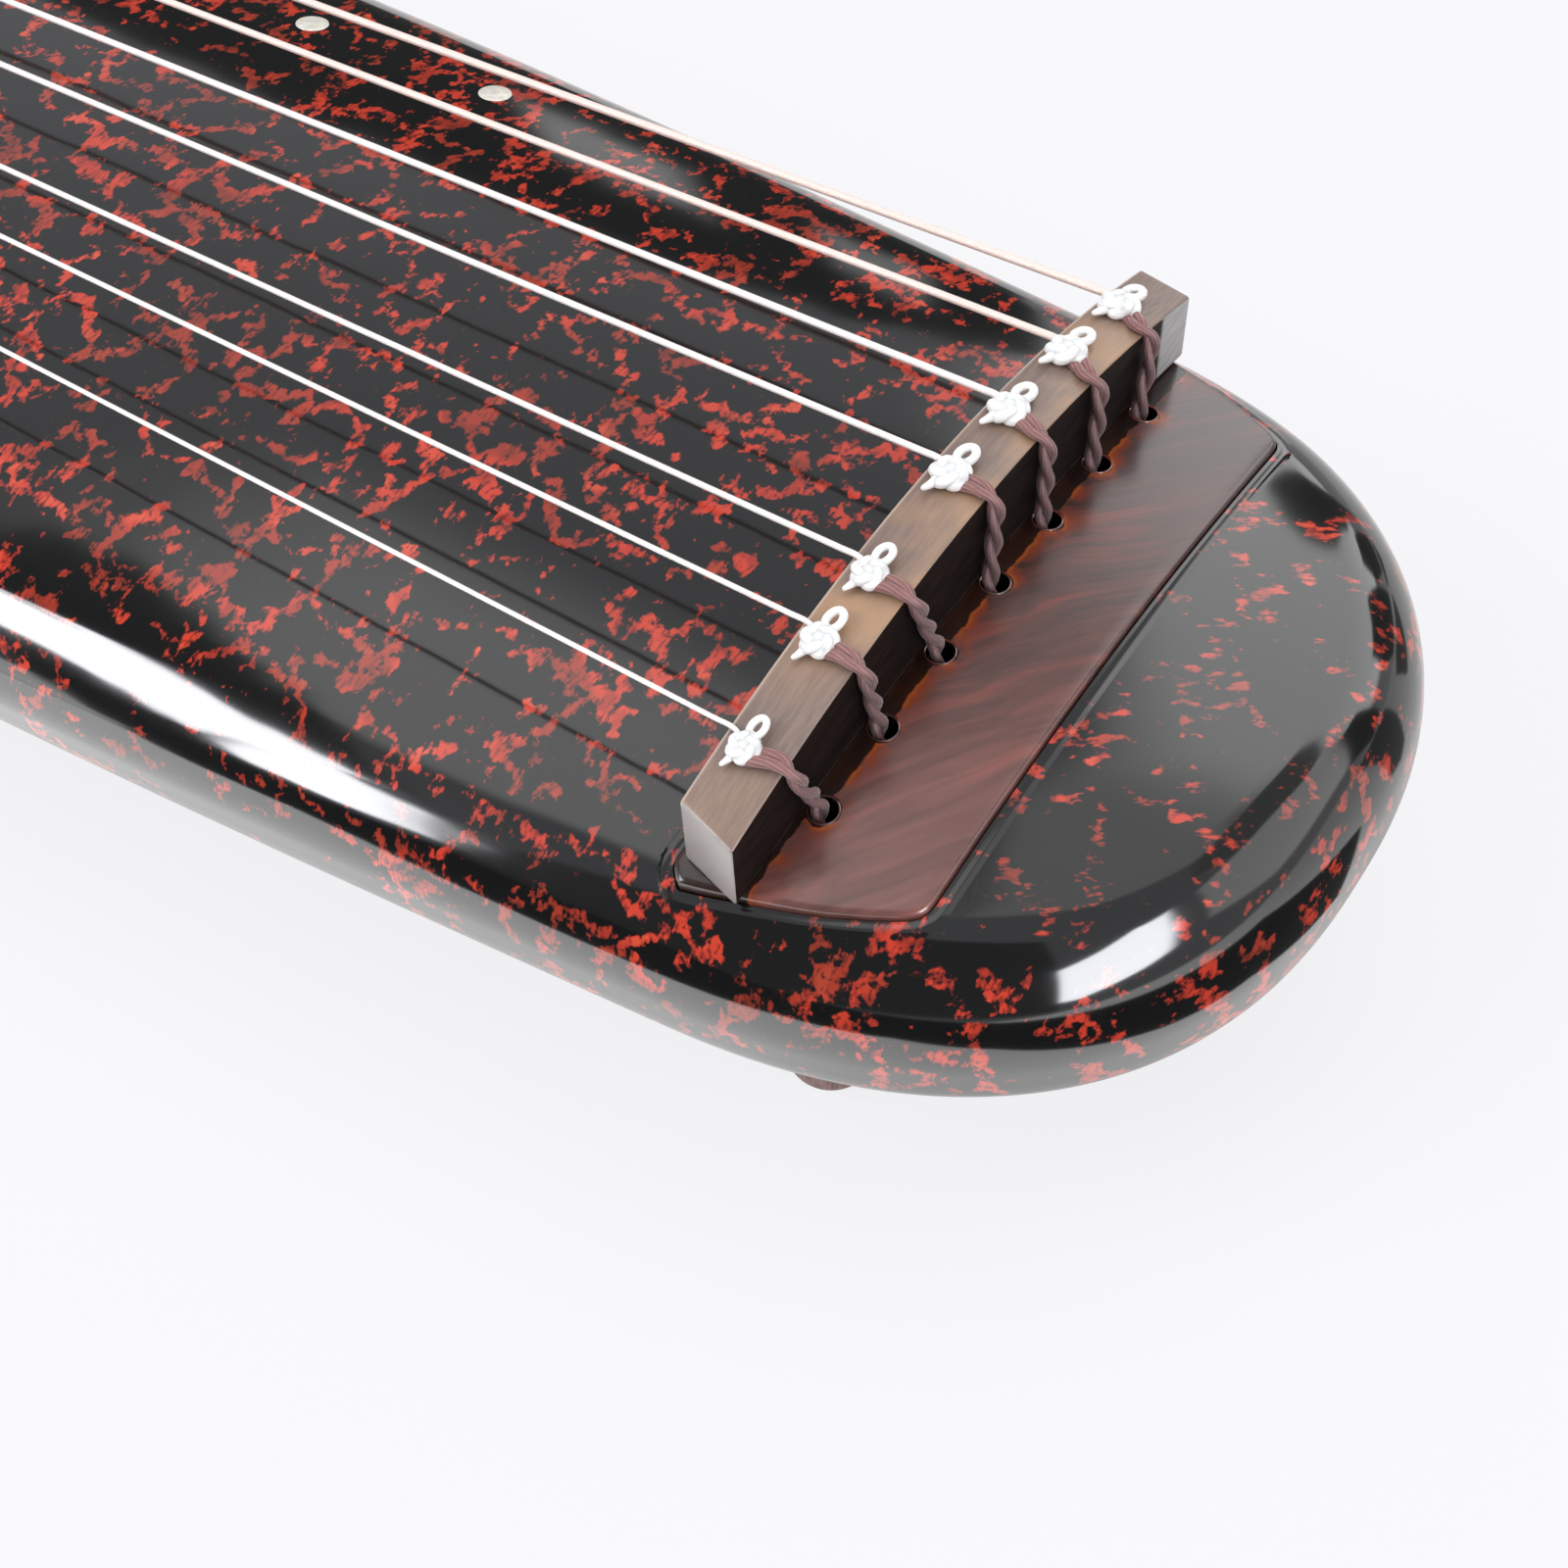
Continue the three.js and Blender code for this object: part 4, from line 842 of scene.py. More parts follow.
def strip_outline(grow):
    """Level outline of the strip: straight along the bridge, its outer corners rounded by a smooth curve."""
    share = STRIP_OUTLINE
    right = np.stack([BRIDGE_X - STRIP_LAP + (STRIP_WIDTH + STRIP_LAP) * share[:, 1],
                      STRIP_HALF_LENGTH * share[:, 0], np.zeros(len(share))], -1)
    right = flowing(right[1:], 0.0012)
    right[:, 0] = np.minimum(right[:, 0], STRIP_OUTER_X)
    inner = np.linspace(1, -1, 60)[:, None] * (0, STRIP_HALF_LENGTH, 0) + (BRIDGE_X - STRIP_LAP, 0, 0)
    middle = np.linspace(-1, 1, 30)[1:-1, None] * (0, right[0, 1], 0) + (STRIP_OUTER_X, 0, 0)
    outline = np.vstack([middle, right, inner[:-1], right[::-1] * (1, -1, 1)])[:, :2]
    outline = evenly(np.hstack([np.vstack([outline, outline[:1]]), np.zeros((len(outline) + 1, 1))]), 0.0011)[:-1, :2]
    return offset_outline(outline, -grow)


def offset_outline(outline, inset):
    """An anticlockwise outline moved inwards by a distance, square to itself."""
    along = unit(np.roll(outline, -1, 0) - np.roll(outline, 1, 0))
    return outline + np.stack([-along[:, 1], along[:, 0]], -1) * inset


def strip_plate(name, grow=0.0):
    """An arched plate over an outline: flat below, upright sides, a quarter-round edge, and a top that runs in
    from the edge to a line along its middle."""
    outline, bottom_z, rounding = strip_outline(grow), STRIP_BOTTOM_Z - grow, 0.0009
    rows = [xyz(*outline.T, bottom_z)]
    for angle in np.linspace(0, np.pi / 2, 7):
        edge = offset_outline(outline, rounding * (1 - np.cos(angle)))
        rows.append(xyz(*edge.T, top_z(BRIDGE_X, edge[:, 1]) + STRIP_PROUD + grow - rounding * (1 - np.sin(angle))))
    rim = rows[-1][:, :2]
    spine = np.column_stack([np.full(len(rim), BRIDGE_X + STRIP_WIDTH / 2), np.clip(rim[:, 1], -0.052, 0.052)])
    for share in np.linspace(0, 1, 13)[1:]:
        level = rim + (spine - rim) * share
        rows.append(xyz(*level.T, top_z(BRIDGE_X, level[:, 1]) + STRIP_PROUD + grow))
    return grid_object(name, np.stack([xyz(*spine.T, bottom_z), *rows]))


def edge_half_width(x):
    """Half the body's width at its widest level: the side's curve, closed by the head's rounded front."""
    share = np.clip((x - BRIDGE_X) / (HEAD_TIP_X - BRIDGE_X), 0, 1)
    return side_half_width(x) * (1 - share ** HEAD_ROUNDNESS) ** (1 / HEAD_ROUNDNESS)


def surface_z(x, y):
    """Height of the lacquered surface: the arched top, less the quarter ellipse by which it rounds over near
    its edge."""
    half = edge_half_width(x)
    slope = (edge_half_width(x + 1e-4) - half) / 1e-4
    inset = np.clip((half - np.abs(y)) / np.sqrt(1 + slope**2) / UPPER_ROUNDING, 0, 1)
    return top_z(x, y) - (top_z(x, half) - SIDE_Z) * (1 - np.sqrt(1 - (1 - inset) ** 2))


def lacquer_lip(name):
    """A low swelling of the lacquer round the strip: a whole cosine wave across, carried round the outline at a
    groove's distance, with its underside sunk into the board."""
    groove, half_width, rise = 0.0004, 0.0014, 0.00014
    share = np.concatenate([np.linspace(-1, 1, 15), [1, -1]])
    lift = np.where(np.arange(17) < 15, rise * (1 + np.cos(np.pi * share)) / 2 - 0.00004, -0.0006)
    edge = strip_outline(0.0)
    rings = []
    for along, up in zip(groove + half_width * (1 + share), lift):
        level = offset_outline(edge, -along)
        rings.append(xyz(*level.T, surface_z(*level.T) + up))
    return grid_object(name, np.stack(rings, 1), loop=True)


def make_strip():
    """The strip with its seven cord holes and their rims, and the lip of lacquer round it."""
    strip = strip_plate("peg_strip_wood")
    strip.data.materials.append(strip_wood)
    cut(strip, cord_holes("holes", 0.05), plain_lacquer)
    seat(strip, "rosewood", "peg_strip")
    rims = []
    for y in PEG_Y:
        level = (CORD_HOLE_RADIUS + 0.00012) * np.stack(circle(48), -1) + (PEG_X, y)
        path = xyz(*level.T, top_z(BRIDGE_X, level[:, 1]) + STRIP_PROUD)
        rims.append(ring_tube("rim", path, 0.00016, 0.00014, 8))
    settle(joined("hole_rims", *rims), rosewood, "rosewood")
    settle(lacquer_lip("lacquer_lip"), lacquer, "lacquer")


def bridge_top_z(y):
    """Height of the bridge's arched top."""
    return TOP_Z + BRIDGE_CROWN - y**2 / (2 * BRIDGE_TOP_RADIUS)


def make_bridge():
    """A straight bar with an arched top and foot and slanting ends, its edges eased."""
    across = np.array([0, 0.5, 1, 1, 1, 0.5, 0, 0])
    x = BRIDGE_X + BRIDGE_THICKNESS * across
    y = np.linspace(-1, 1, 72)[:, None] * BRIDGE_HALF_LENGTH + BRIDGE_END_SLANT * (1 - across)
    foot, top = top_z(BRIDGE_X, y) + STRIP_PROUD + GAP, bridge_top_z(y)
    height = foot + (top - foot) * np.array([0, 0, 0, 0.5, 1, 1, 1, 0.5])
    bar = grid_object("bridge_bar", xyz(x, y, height), caps=True)
    eased(bar, 0.0006)
    bar.data.materials.append(bridge_wood)
    bar.data.materials.append(painted_shade_face)
    # Faces turned to +X take the copy of the wood painted dark with shade and reflection.
    facing = np.empty(len(bar.data.polygons) * 3)
    bar.data.polygons.foreach_get("normal", facing)
    bar.data.polygons.foreach_set("material_index", (facing.reshape(-1, 3)[:, 0] > 0.9).astype(np.int32))
    seat(bar, "darkwood", "bridge")


# ---------------------------------------------------------------- strings and cords

def quarter(centre_x, centre_z, radius, from_top, y):
    """A quarter turn in the upright plane, from the top to the outside or from the outside to the bottom."""
    angle = np.linspace(0, np.pi / 2, 20)
    across, up = (np.sin(angle), np.cos(angle)) if from_top else (np.cos(angle), -np.sin(angle))
    return xyz(centre_x - radius * across, y, centre_z + radius * up)


def nut_top_z(y):
    """Height of the nut's arched top."""
    return top_z(NUT_X, y) + NUT_RISE


def winding_start_z(index):
    """Height of the string's first turn on the foot's neck, below the turns of the strings before it."""
    first = 0 if index < 4 else 4
    z = BOTTOM_Z - GAP - 0.0012 - STRING_RADII[first] - GAP
    for i in range(first, index):
        z -= 2 * (2 * STRING_RADII[i] + COIL_SPACE) + STRING_RADII[i] + STRING_RADII[i + 1] + COIL_SPACE
    return z


def string_path(index):
    """Route of a string: from its knot over the bridge, straight to the nut, round the nut and the support,
    back under the body, and twice round its foot."""
    radius = STRING_RADII[index]
    clear = radius + GAP
    y, nut_y = STRING_Y[index], STRING_Y[index] * NUT_SHARE
    knot_y = y - KNOT_SHIFT
    on_bridge = flowing([
        (BRIDGE_X + KNOT_SETBACK, knot_y, bridge_top_z(knot_y) + 0.0014),
        (BRIDGE_X + 0.0024, y - 0.0008, bridge_top_z(y) + clear + 0.0003),
        (BRIDGE_X + 0.0006, y, bridge_top_z(y) + clear),
        (BRIDGE_X - 0.002, y, bridge_top_z(y) + clear - 0.00004),
    ], 0.0004)
    nut = quarter(NUT_OUTER_X + NUT_ROUNDING, nut_top_z(nut_y) - NUT_ROUNDING, NUT_ROUNDING + clear, True, nut_y)
    support = quarter(NUT_OUTER_X + SUPPORT_ROUNDING, SUPPORT_LOW_Z + SUPPORT_ROUNDING, SUPPORT_ROUNDING + clear,
                      False, nut_y)
    side = 1 if index < 4 else -1
    start = np.array([NUT_OUTER_X + SUPPORT_THICKNESS, nut_y, SUPPORT_LOW_Z - clear])
    foot = np.array([FOOT_X, side * FOOT_Y])
    away = start[:2] - foot
    coil_radius = FOOT_NECK_RADIUS + clear
    first = np.arctan2(away[1], away[0]) + side * np.arccos(coil_radius / np.linalg.norm(away))
    turn = np.linspace(0, 2, 97)
    angle = first + side * 2 * np.pi * turn
    pitch = 2 * radius + COIL_SPACE
    coil = xyz(foot[0] + coil_radius * np.cos(angle), foot[1] + coil_radius * np.sin(angle),
               winding_start_z(index) - pitch * turn)
    straight = np.linspace(0, 1, 12)[1:-1, None]
    over = on_bridge[-1] + (np.array([NUT_X, nut_y, nut_top_z(nut_y) + clear]) - on_bridge[-1]) * straight
    under = start + (coil[0] - start) * straight
    return np.vstack([on_bridge, over, (NUT_X, nut_y, nut_top_z(nut_y) + clear), nut, support, start, under, coil])


def knot(index):
    """The pressed knot: five flat lobes of thick strand over a core, an oval loop towards the studs and a short
    pointed end. The lobes run round a ring twice while they turn five times about it."""
    t = np.linspace(0, 2 * np.pi, 161)
    reach = 0.0021 + 0.00062 * np.cos(2.5 * 2 * t + 0.6)
    lobes = xyz(reach * np.cos(2 * t), reach * np.sin(2 * t), 0.00055 * np.sin(5 * t))
    loop = xyz(0.0003 + 0.00135 * np.sin(t), 0.0046 - 0.0023 * np.cos(t), 0.0002 + 0.0002 * np.cos(t))
    end = flowing([(-0.0008, -0.0018, -0.0001), (-0.0015, -0.0036, -0.0004), (-0.0021, -0.0049, -0.0005)], 0.0003)
    thin_end = np.linspace(0.00105, 0.0005, len(end))
    core = turned("knot", [(0, -0.0013), (0.0019, -0.0011), (0.0027, -0.0003), (0.0024, 0.0007), (0.0014, 0.0012),
                           (0, 0.0013)], (0, 0, 0), 24)
    parts = [core, tube("knot", lobes, 0.00105, 12), tube("knot", loop, 0.00076, 10), tube("knot", end, thin_end, 10)]
    y = STRING_Y[index] - KNOT_SHIFT
    turn = np.radians(18 * ((index * 3) % 7) - 50)
    place = (Matrix.Translation((BRIDGE_X + KNOT_SETBACK, y, bridge_top_z(y) + 0.0016))
             @ Matrix.Rotation(np.arctan(-y / BRIDGE_TOP_RADIUS), 4, "X")
             @ Matrix.Scale(KNOT_SIZES[index], 4)
             @ Matrix.Rotation(turn, 4, "Z"))
    upright = place @ Matrix.Rotation(-turn, 4, "Z")
    for i, part in enumerate(parts):
        part.data.transform(place if i < 2 else upright)
        part.data.polygons.foreach_set("material_index", np.ones(len(part.data.polygons), np.int32))
    return parts


def cord_path(index):
    """Route of a cord: out from under its knot, over the bridge's outer edge, down close to its face, and into
    its hole along the side next to the bridge."""
    knot_y, hole_y = STRING_Y[index] - KNOT_SHIFT, PEG_Y[index]
    cross_y = knot_y + (hole_y - knot_y) * CORD_CROSS_SHARES[index]
    outer = BRIDGE_X + BRIDGE_THICKNESS
    face_x = outer + 0.00165
    strip_top = top_z(BRIDGE_X, hole_y) + STRIP_PROUD
    top = bridge_top_z(cross_y)
    return flowing([
        (BRIDGE_X + 0.0058, knot_y - 0.0006, bridge_top_z(knot_y) + 0.0009),
        (BRIDGE_X + 0.0080, knot_y + (cross_y - knot_y) * 0.5, bridge_top_z(knot_y) + 0.00105),
        (outer - 0.0009, cross_y, top + 0.0010),
        (outer + 0.0009, cross_y, top - 0.0001),
        (face_x, cross_y + (hole_y - cross_y) * 0.15, top - 0.0028),
        (face_x, (cross_y + hole_y) / 2, (top + strip_top) / 2),
        (face_x, hole_y, strip_top + 0.0015),
        (face_x + 0.0002, hole_y, strip_top - 0.0015),
        (PEG_X, hole_y, 0.060),
        (PEG_X, hole_y, RECESS_CEILING_Z),
        (PEG_X, hole_y, PLATE_BOTTOM_Z - 0.004),
    ], 0.00025)


def twisted(name, path, thick, pitch, flat_length=0, swell=0):
    """Two strands of radius thick wound round each other. Over the flat length at the start they lie side by
    side, thicker by the share swell."""
    run = length_along(path)
    _, side, up = carried_frames(path)
    laid = np.clip(1.4 - run / flat_length, 0, 1) if flat_length else 0 * run
    angle = 2 * np.pi * np.maximum(run - flat_length, 0) / pitch
    radius = thick * (1 + swell * laid)
    reach = 0.88 * radius
    strands = []
    for turn in (0, np.pi):
        place = path + (side * np.cos(angle + turn)[:, None] + up * np.sin(angle + turn)[:, None]) * reach[:, None]
        strands.append(tube(name, place, radius, 12))
    return joined(name, *strands)


def peg_winding_path(index):
    """Two turns of the cord round the peg's neck, downwards."""
    turn = np.linspace(0, 2, 121)
    radius = PEG_NECK_RADIUS + GAP + WOUND_CORD_RADIUS
    z = PEG_TOP_Z - PEG_SHOULDER - GAP - WOUND_CORD_RADIUS - (2 * WOUND_CORD_RADIUS + COIL_SPACE) * turn
    angle = 2 * np.pi * turn
    return xyz(PEG_X + radius * np.cos(angle), PEG_Y[index] + radius * np.sin(angle), z)


def make_strings():
    """Each string with its knot, its cord, and the cord's end on the peg."""
    for i, radius in enumerate(STRING_RADII):
        string = joined(f"wound_string_{i + 1}", tube("string", string_path(i), radius, 14), *knot(i))
        string.data.materials.append(pink_string if i < 2 else white_string)
        string.data.materials.append(knot_silk)
        seat(string, "string", f"string_{i + 1}")
        cord = twisted(f"twisted_cord_{i + 1}", cord_path(i), thick=0.00078, pitch=0.013,
                       flat_length=0.0046, swell=0.15)
        settle(cord, silk, "cord", f"cord_{i + 1}")
        winding = twisted(f"peg_winding_{i + 1}", peg_winding_path(i), thick=0.00052, pitch=0.009)
        settle(winding, silk, "cord", f"cord_winding_{i + 1}", body=f"tuning_peg_{i + 1}")


def make_pegs():
    """Turned pegs: a rounded tip, a slightly waisted body, a slim neck for the cord and a bored shoulder."""
    shoulder, neck, bore = PEG_TOP_Z - PEG_SHOULDER, PEG_TOP_Z - 0.0145, 0.0019
    thickest, rounding = 0.0078, 0.0032
    run = np.linspace(0, 1, 16)
    waisted = np.interp(run, [0, 0.5, 1], [thickest, 0.00735, 0.0062])
    profile = [
        (0, PEG_TIP_Z),
        *((thickest - rounding * (1 - np.sin(a)), PEG_TIP_Z + rounding * (1 - np.cos(a)))
          for a in np.linspace(0, np.pi / 2, 9)),
        *zip(waisted[1:], PEG_TIP_Z + rounding + (neck - PEG_TIP_Z - 0.0036) * run[1:]),
        (0.0056, neck), (PEG_NECK_RADIUS, neck + 0.0002), (PEG_NECK_RADIUS, shoulder - 0.0002),
        (0.0058, shoulder), (0.0062, shoulder + 0.0004), (0.0062, PEG_TOP_Z - 0.0004), (0.0058, PEG_TOP_Z),
        (bore, PEG_TOP_Z), (bore, shoulder - 0.005), (0, shoulder - 0.005),
    ]
    for i, y in enumerate(PEG_Y):
        peg = turned(f"turned_peg_{i + 1}", profile, (PEG_X, y, 0), 40)
        settle(peg, peg_wood, "darkwood", f"peg_{i + 1}", body=f"tuning_peg_{i + 1}")


# ---------------------------------------------------------------- studs, tail and feet

def make_studs():
    """Thirteen round studs let in flush along the first string, slightly domed."""
    for i, share in enumerate(STUD_SHARES):
        string_y = STRING_Y[0] + (STRING_Y[0] * NUT_SHARE - STRING_Y[0]) * share
        x, y = BRIDGE_X - SPEAKING_LENGTH * share, string_y + 0.0128
        radius = 0.0034 + 0.0022 * (1 - abs(i - 6) / 6) ** 2
        dome = [(0, 0.00022), (radius * 0.5, 0.0002), (radius * 0.85, 0.00012), (radius * 0.97, 0.00004),
                (radius, -0.0001), (radius, -0.0012), (0, -0.0012)]
        stud = turned(f"shell_stud_{i + 1:02d}", dome, (0, 0, 0), 40)
        stud.data.transform(Matrix.Translation((x, y, float(top_z(x, y))))
                            @ Matrix.Rotation(np.arctan(-y / ARCH_RADIUS), 4, "X"))
        settle(stud, shell, "shell", f"stud_{i + 1:02d}")


def bar(name, y, profile_x, profile_z):
    """A profile of x and z points at each y, carried across the body and closed at its ends."""
    return grid_object(name, xyz(profile_x, y[:, None], profile_z), caps=True)


def make_tail():
    """The nut, its support, the panel round it and the two horns."""
    arc = np.linspace(0, np.pi / 2, 16)
    y = np.linspace(-1, 1, 40) * NUT_HALF_WIDTH
    ledge = np.full((40, 1), LEDGE_Z)
    nut_x = np.concatenate([[NUT_X, NUT_X], NUT_OUTER_X + NUT_ROUNDING * (1 - np.sin(arc)), [NUT_OUTER_X]])
    drop = np.concatenate([[0], NUT_ROUNDING * (1 - np.cos(arc))])
    nut = bar("tail_nut_bar", y, nut_x, np.concatenate([ledge, nut_top_z(y)[:, None] - drop, ledge], 1))
    settle(eased(nut, 0.0004), rosewood, "rosewood", "tail_nut")
    inner_x, rounding = NUT_OUTER_X + SUPPORT_THICKNESS, SUPPORT_ROUNDING
    support_x = np.concatenate([[NUT_OUTER_X], NUT_OUTER_X + rounding * (1 - np.cos(arc)), [inner_x, inner_x]])
    support_z = np.concatenate([[LEDGE_Z], SUPPORT_LOW_Z + rounding * (1 - np.sin(arc)), [SUPPORT_LOW_Z, LEDGE_Z]])
    support = bar("tail_support_block", y, support_x, support_z)
    settle(eased(support, 0.0004), rosewood, "rosewood", "tail_support")

    half, _ = body_half()
    panel = closed_body("tail_panel_wood", half)
    zone = box("zone", (-FAR, -PANEL_HALF_WIDTH, LEDGE_Z), (PANEL_FRONT_X, PANEL_HALF_WIDTH, ABOVE_TAIL_Z))
    cut(panel, zone, keep_inside=True)
    cut(panel, box("nut_slot", (-FAR, -NUT_HALF_WIDTH - GAP, 0), (NUT_X + GAP, NUT_HALF_WIDTH + GAP, ABOVE_TAIL_Z)))
    settle(panel, rosewood, "rosewood", "tail_panel")
    for name, side in (("near", -1), ("far", 1)):
        raised, _ = body_half(HORN_RISE)
        horn = closed_body(f"tail_horn_{name}_wood", raised)
        inner, outer = sorted((side * (PANEL_HALF_WIDTH + GAP), side * 0.2))
        cut(horn, box("zone", (-FAR, inner, LEDGE_Z), (HORN_FRONT_X, outer, ABOVE_TAIL_Z)), keep_inside=True)
        settle(eased(horn, 0.0006, 2), rosewood, "rosewood", f"tail_horn_{name}")


def solid_copy(name, node):
    """A merged copy of a CAD node's mesh, with flat faces joined up, ready to be eased."""
    shape = bmesh.new()
    shape.from_mesh(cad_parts[node].data)
    bmesh.ops.remove_doubles(shape, verts=shape.verts, dist=1e-6)
    bmesh.ops.dissolve_limit(shape, angle_limit=np.radians(1), verts=shape.verts, edges=shape.edges)
    mesh = bpy.data.meshes.new(name)
    shape.to_mesh(mesh)
    shape.free()
    return placed(name, mesh)


def guard_outline():
    """Half of a guard's outline from its top down to its foot: a cubic curve, then mirrored."""
    t = np.linspace(0, 1, 24)[:, None]
    top, foot = 0.0105, 0.007
    ends = np.array([(top, BOTTOM_Z - GAP), (top, BOTTOM_Z / 2), (top, 0), (foot, 0)])
    curve = (ends[0] * (1 - t)**3 + 3 * ends[1] * t * (1 - t)**2 + 3 * ends[2] * t**2 * (1 - t) + ends[3] * t**3)
    return np.vstack([curve, (curve * (-1, 1))[::-1]])


def make_feet():
    """The two feet, their socket blocks, the peg guards, the peg plate and the posts inside."""
    for name, side in (("near", -1), ("far", 1)):
        foot = solid_copy(f"turned_foot_{name}", f"foot_{name}")
        settle(eased(foot, 0.0004, 2), rosewood, "rosewood", f"foot_{name}")
        outline = guard_outline() + (side * GUARD_Y, 0)
        guard = prism(f"shaped_guard_{name}", outline, GUARD_X - 0.005, GUARD_X + 0.005, axis=0)
        settle(eased(guard, 0.0012), rosewood, "rosewood", f"peg_guard_{name}")
        recoat(f"foot_socket_{name}", bare_wood)
    recoat("peg_plate", rosewood)
    recoat("round_post", bare_wood)
    recoat("square_post", bare_wood)


def recoat(node, material):
    """Gives a CAD node that stays in view a finish of its own."""
    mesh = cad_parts[node].data
    mesh.materials.clear()
    mesh.materials.append(material)


# ---------------------------------------------------------------- studio

def heading(azimuth, elevation):
    """Unit vectors in directions given in degrees."""
    az, el = np.radians([azimuth, elevation])
    return xyz(np.cos(el) * np.cos(az), np.cos(el) * np.sin(az), np.sin(el))


def look(location, yaw, pitch, roll):
    """Matrix of something that looks along a heading and down by pitch, turned about that line by roll."""
    ahead, roll = heading(yaw, -pitch), np.radians(roll)
    level = unit(np.cross(ahead, (0, 0, 1)))
    rise = np.cross(level, ahead)
    right = np.cos(roll) * level + np.sin(roll) * rise
    up = np.cos(roll) * rise - np.sin(roll) * level
    matrix = np.eye(4)
    matrix[:3] = np.column_stack([right, up, -ahead, location])
    return Matrix(matrix.tolist())


def make_camera():
    """The photograph's view, solved from the bridge, the strings and the strip."""
    data = bpy.data.cameras.new("camera")
    data.lens, data.sensor_width = 53.363, 36.0
    data.clip_start, data.clip_end = 0.01, 50
    camera = placed("camera", data)
    camera.matrix_world = look((0.660223, -0.219643, 0.347053), 126.11968, 52.24844, -3.15615)
    scene.camera = camera


def make_floor():
    """A wide pale floor that keeps a faint shadow and isn't there when seen from below."""
    f = Finish("pale_floor")
    pale = colour("f7f7fa")
    seen = f.node("LightPath", output="Is Camera Ray")
    for kind in ("Is Glossy Ray", "Is Transmission Ray"):
        seen = f.math("MAXIMUM", seen, f.node("LightPath", output=kind))
    matt, bright = f.node("BsdfDiffuse", {"Color": pale}), f.node("Emission", {"Color": pale, "Strength": 1.0})
    lit = f.node("MixShader", {0: seen * 0.86, 1: matt, 2: bright})
    below = f.node("NewGeometry", output="Backfacing")
    f.end(f.node("MixShader", {0: below, 1: lit, 2: f.node("BsdfTransparent")}))
    reach = 8.0
    floor = mesh_object("floor", [(-reach, -reach, 0), (reach, -reach, 0), (reach, reach, 0), (-reach, reach, 0)],
                        [[0, 1, 2, 3]])
    floor.data.materials.append(f.material)


def make_world():
    """Pale all round to the eye and in reflections, a little weaker as a light."""
    world = bpy.data.worlds.new("studio")
    scene.world = world
    world.use_nodes = True
    nodes, links = world.node_tree.nodes, world.node_tree.links
    back = nodes["Background"]
    back.inputs["Color"].default_value = colour("f3f4f8")
    path = nodes.new("ShaderNodeLightPath")
    weaker = nodes.new("ShaderNodeMapRange")
    weaker.inputs["To Min"].default_value = 1.0
    weaker.inputs["To Max"].default_value = 0.5
    links.new(path.outputs["Is Diffuse Ray"], weaker.inputs["Value"])
    links.new(weaker.outputs[0], back.inputs["Strength"])


def card(name, corners, strength, soft=0.0, tint="ffffff"):
    """A flat card of the studio that only reflections show: bright ones are softboxes, dark ones are flags.
    soft is the share of the way to its middle over which each corner's part of the edge fades out."""
    f = Finish(name)
    cover = f.step(f.axis(f.place("UV"), 0), 0.0, 1.0)
    glow = f.node("Emission", {"Color": colour(tint), "Strength": strength})
    f.end(f.node("MixShader", {0: cover, 1: f.node("BsdfTransparent"), 2: glow}))
    outer = np.asarray(corners, float)
    count = len(outer)
    inner = outer + (outer.mean(0) - outer) * np.maximum(np.broadcast_to(soft, count), 0.001)[:, None]
    faces = [[i, (i + 1) % count, count + (i + 1) % count, count + i] for i in range(count)]
    uv = [0.0, 0.0, 0.0, 0.0, 1.0, 0.0, 1.0, 0.0] * count + [1.0, 0.0] * count
    mirrored_only(name, np.vstack([outer, inner]), [*faces, list(range(count, 2 * count))], uv, f.material)


def mirrored_only(name, points, faces, uv, material):
    """A piece of the studio that only reflections show."""
    mesh = bpy.data.meshes.new(name)
    mesh.from_pydata(points.tolist(), [], faces)
    mesh.uv_layers.new(name="UVMap").data.foreach_set("uv", uv)
    mesh.materials.append(material)
    made = placed(name, mesh)
    made.visible_camera = made.visible_diffuse = made.visible_shadow = False
    made.visible_transmission = made.visible_volume_scatter = False


def floor_glow():
    """The white floor as the lacquer mirrors it: a glowing sheet that only reflections show, the body's outline
    carried outwards over the floor. The floor's light and the body's shadow on it are painted into the glow: dim
    below the body's edge, brighter further out, full on the near side and weak on the far side."""
    x, y = body_outline(10, 60, 36)
    outline = np.column_stack([np.concatenate([x, x[-2:0:-1]]), np.concatenate([-y, y[-2:0:-1]])])
    # Painted light and shadow: the glow's levels, dimmed near the edge by the body's painted shadow.
    out = np.array([-0.030, -0.015, 0.0, 0.013, 0.025, 0.038, 0.30, 0.95])
    level = np.array([0.45, 0.65, 1.2, 1.9, 2.8, 3.6, 4.0, 4.4])
    along = unit(np.roll(outline, -1, 0) - np.roll(outline, 1, 0))
    facing = np.degrees(np.arctan2(-along[:, 0], along[:, 1]))
    side = np.interp(facing, [-180, -90, -60, -30, -10, 5, 25, 45, 90, 180],
                     [1.1, 1.25, 1.0, 0.92, 0.8, 0.6, 0.36, 0.27, 0.27, 0.3])
    points = np.stack([xyz(*offset_outline(outline, -far).T, 0.001) for far in out], 1)
    bright = side[:, None] * level / 5
    f = Finish("floor_glow")
    f.end(f.node("Emission", {"Strength": f.axis(f.place("UV"), 0) * 5.0}))
    count, rings = bright.shape
    corners = quads(count, rings, ring=False, loop=True)
    here = (corners[..., 0] % count, corners[..., 1])
    faces = (here[0] * rings + here[1]).tolist()
    uv = np.stack([bright[here], 0 * bright[here]], -1).astype(np.float32).ravel()
    mirrored_only("floor_glow", points.reshape(-1, 3), faces, uv, f.material)


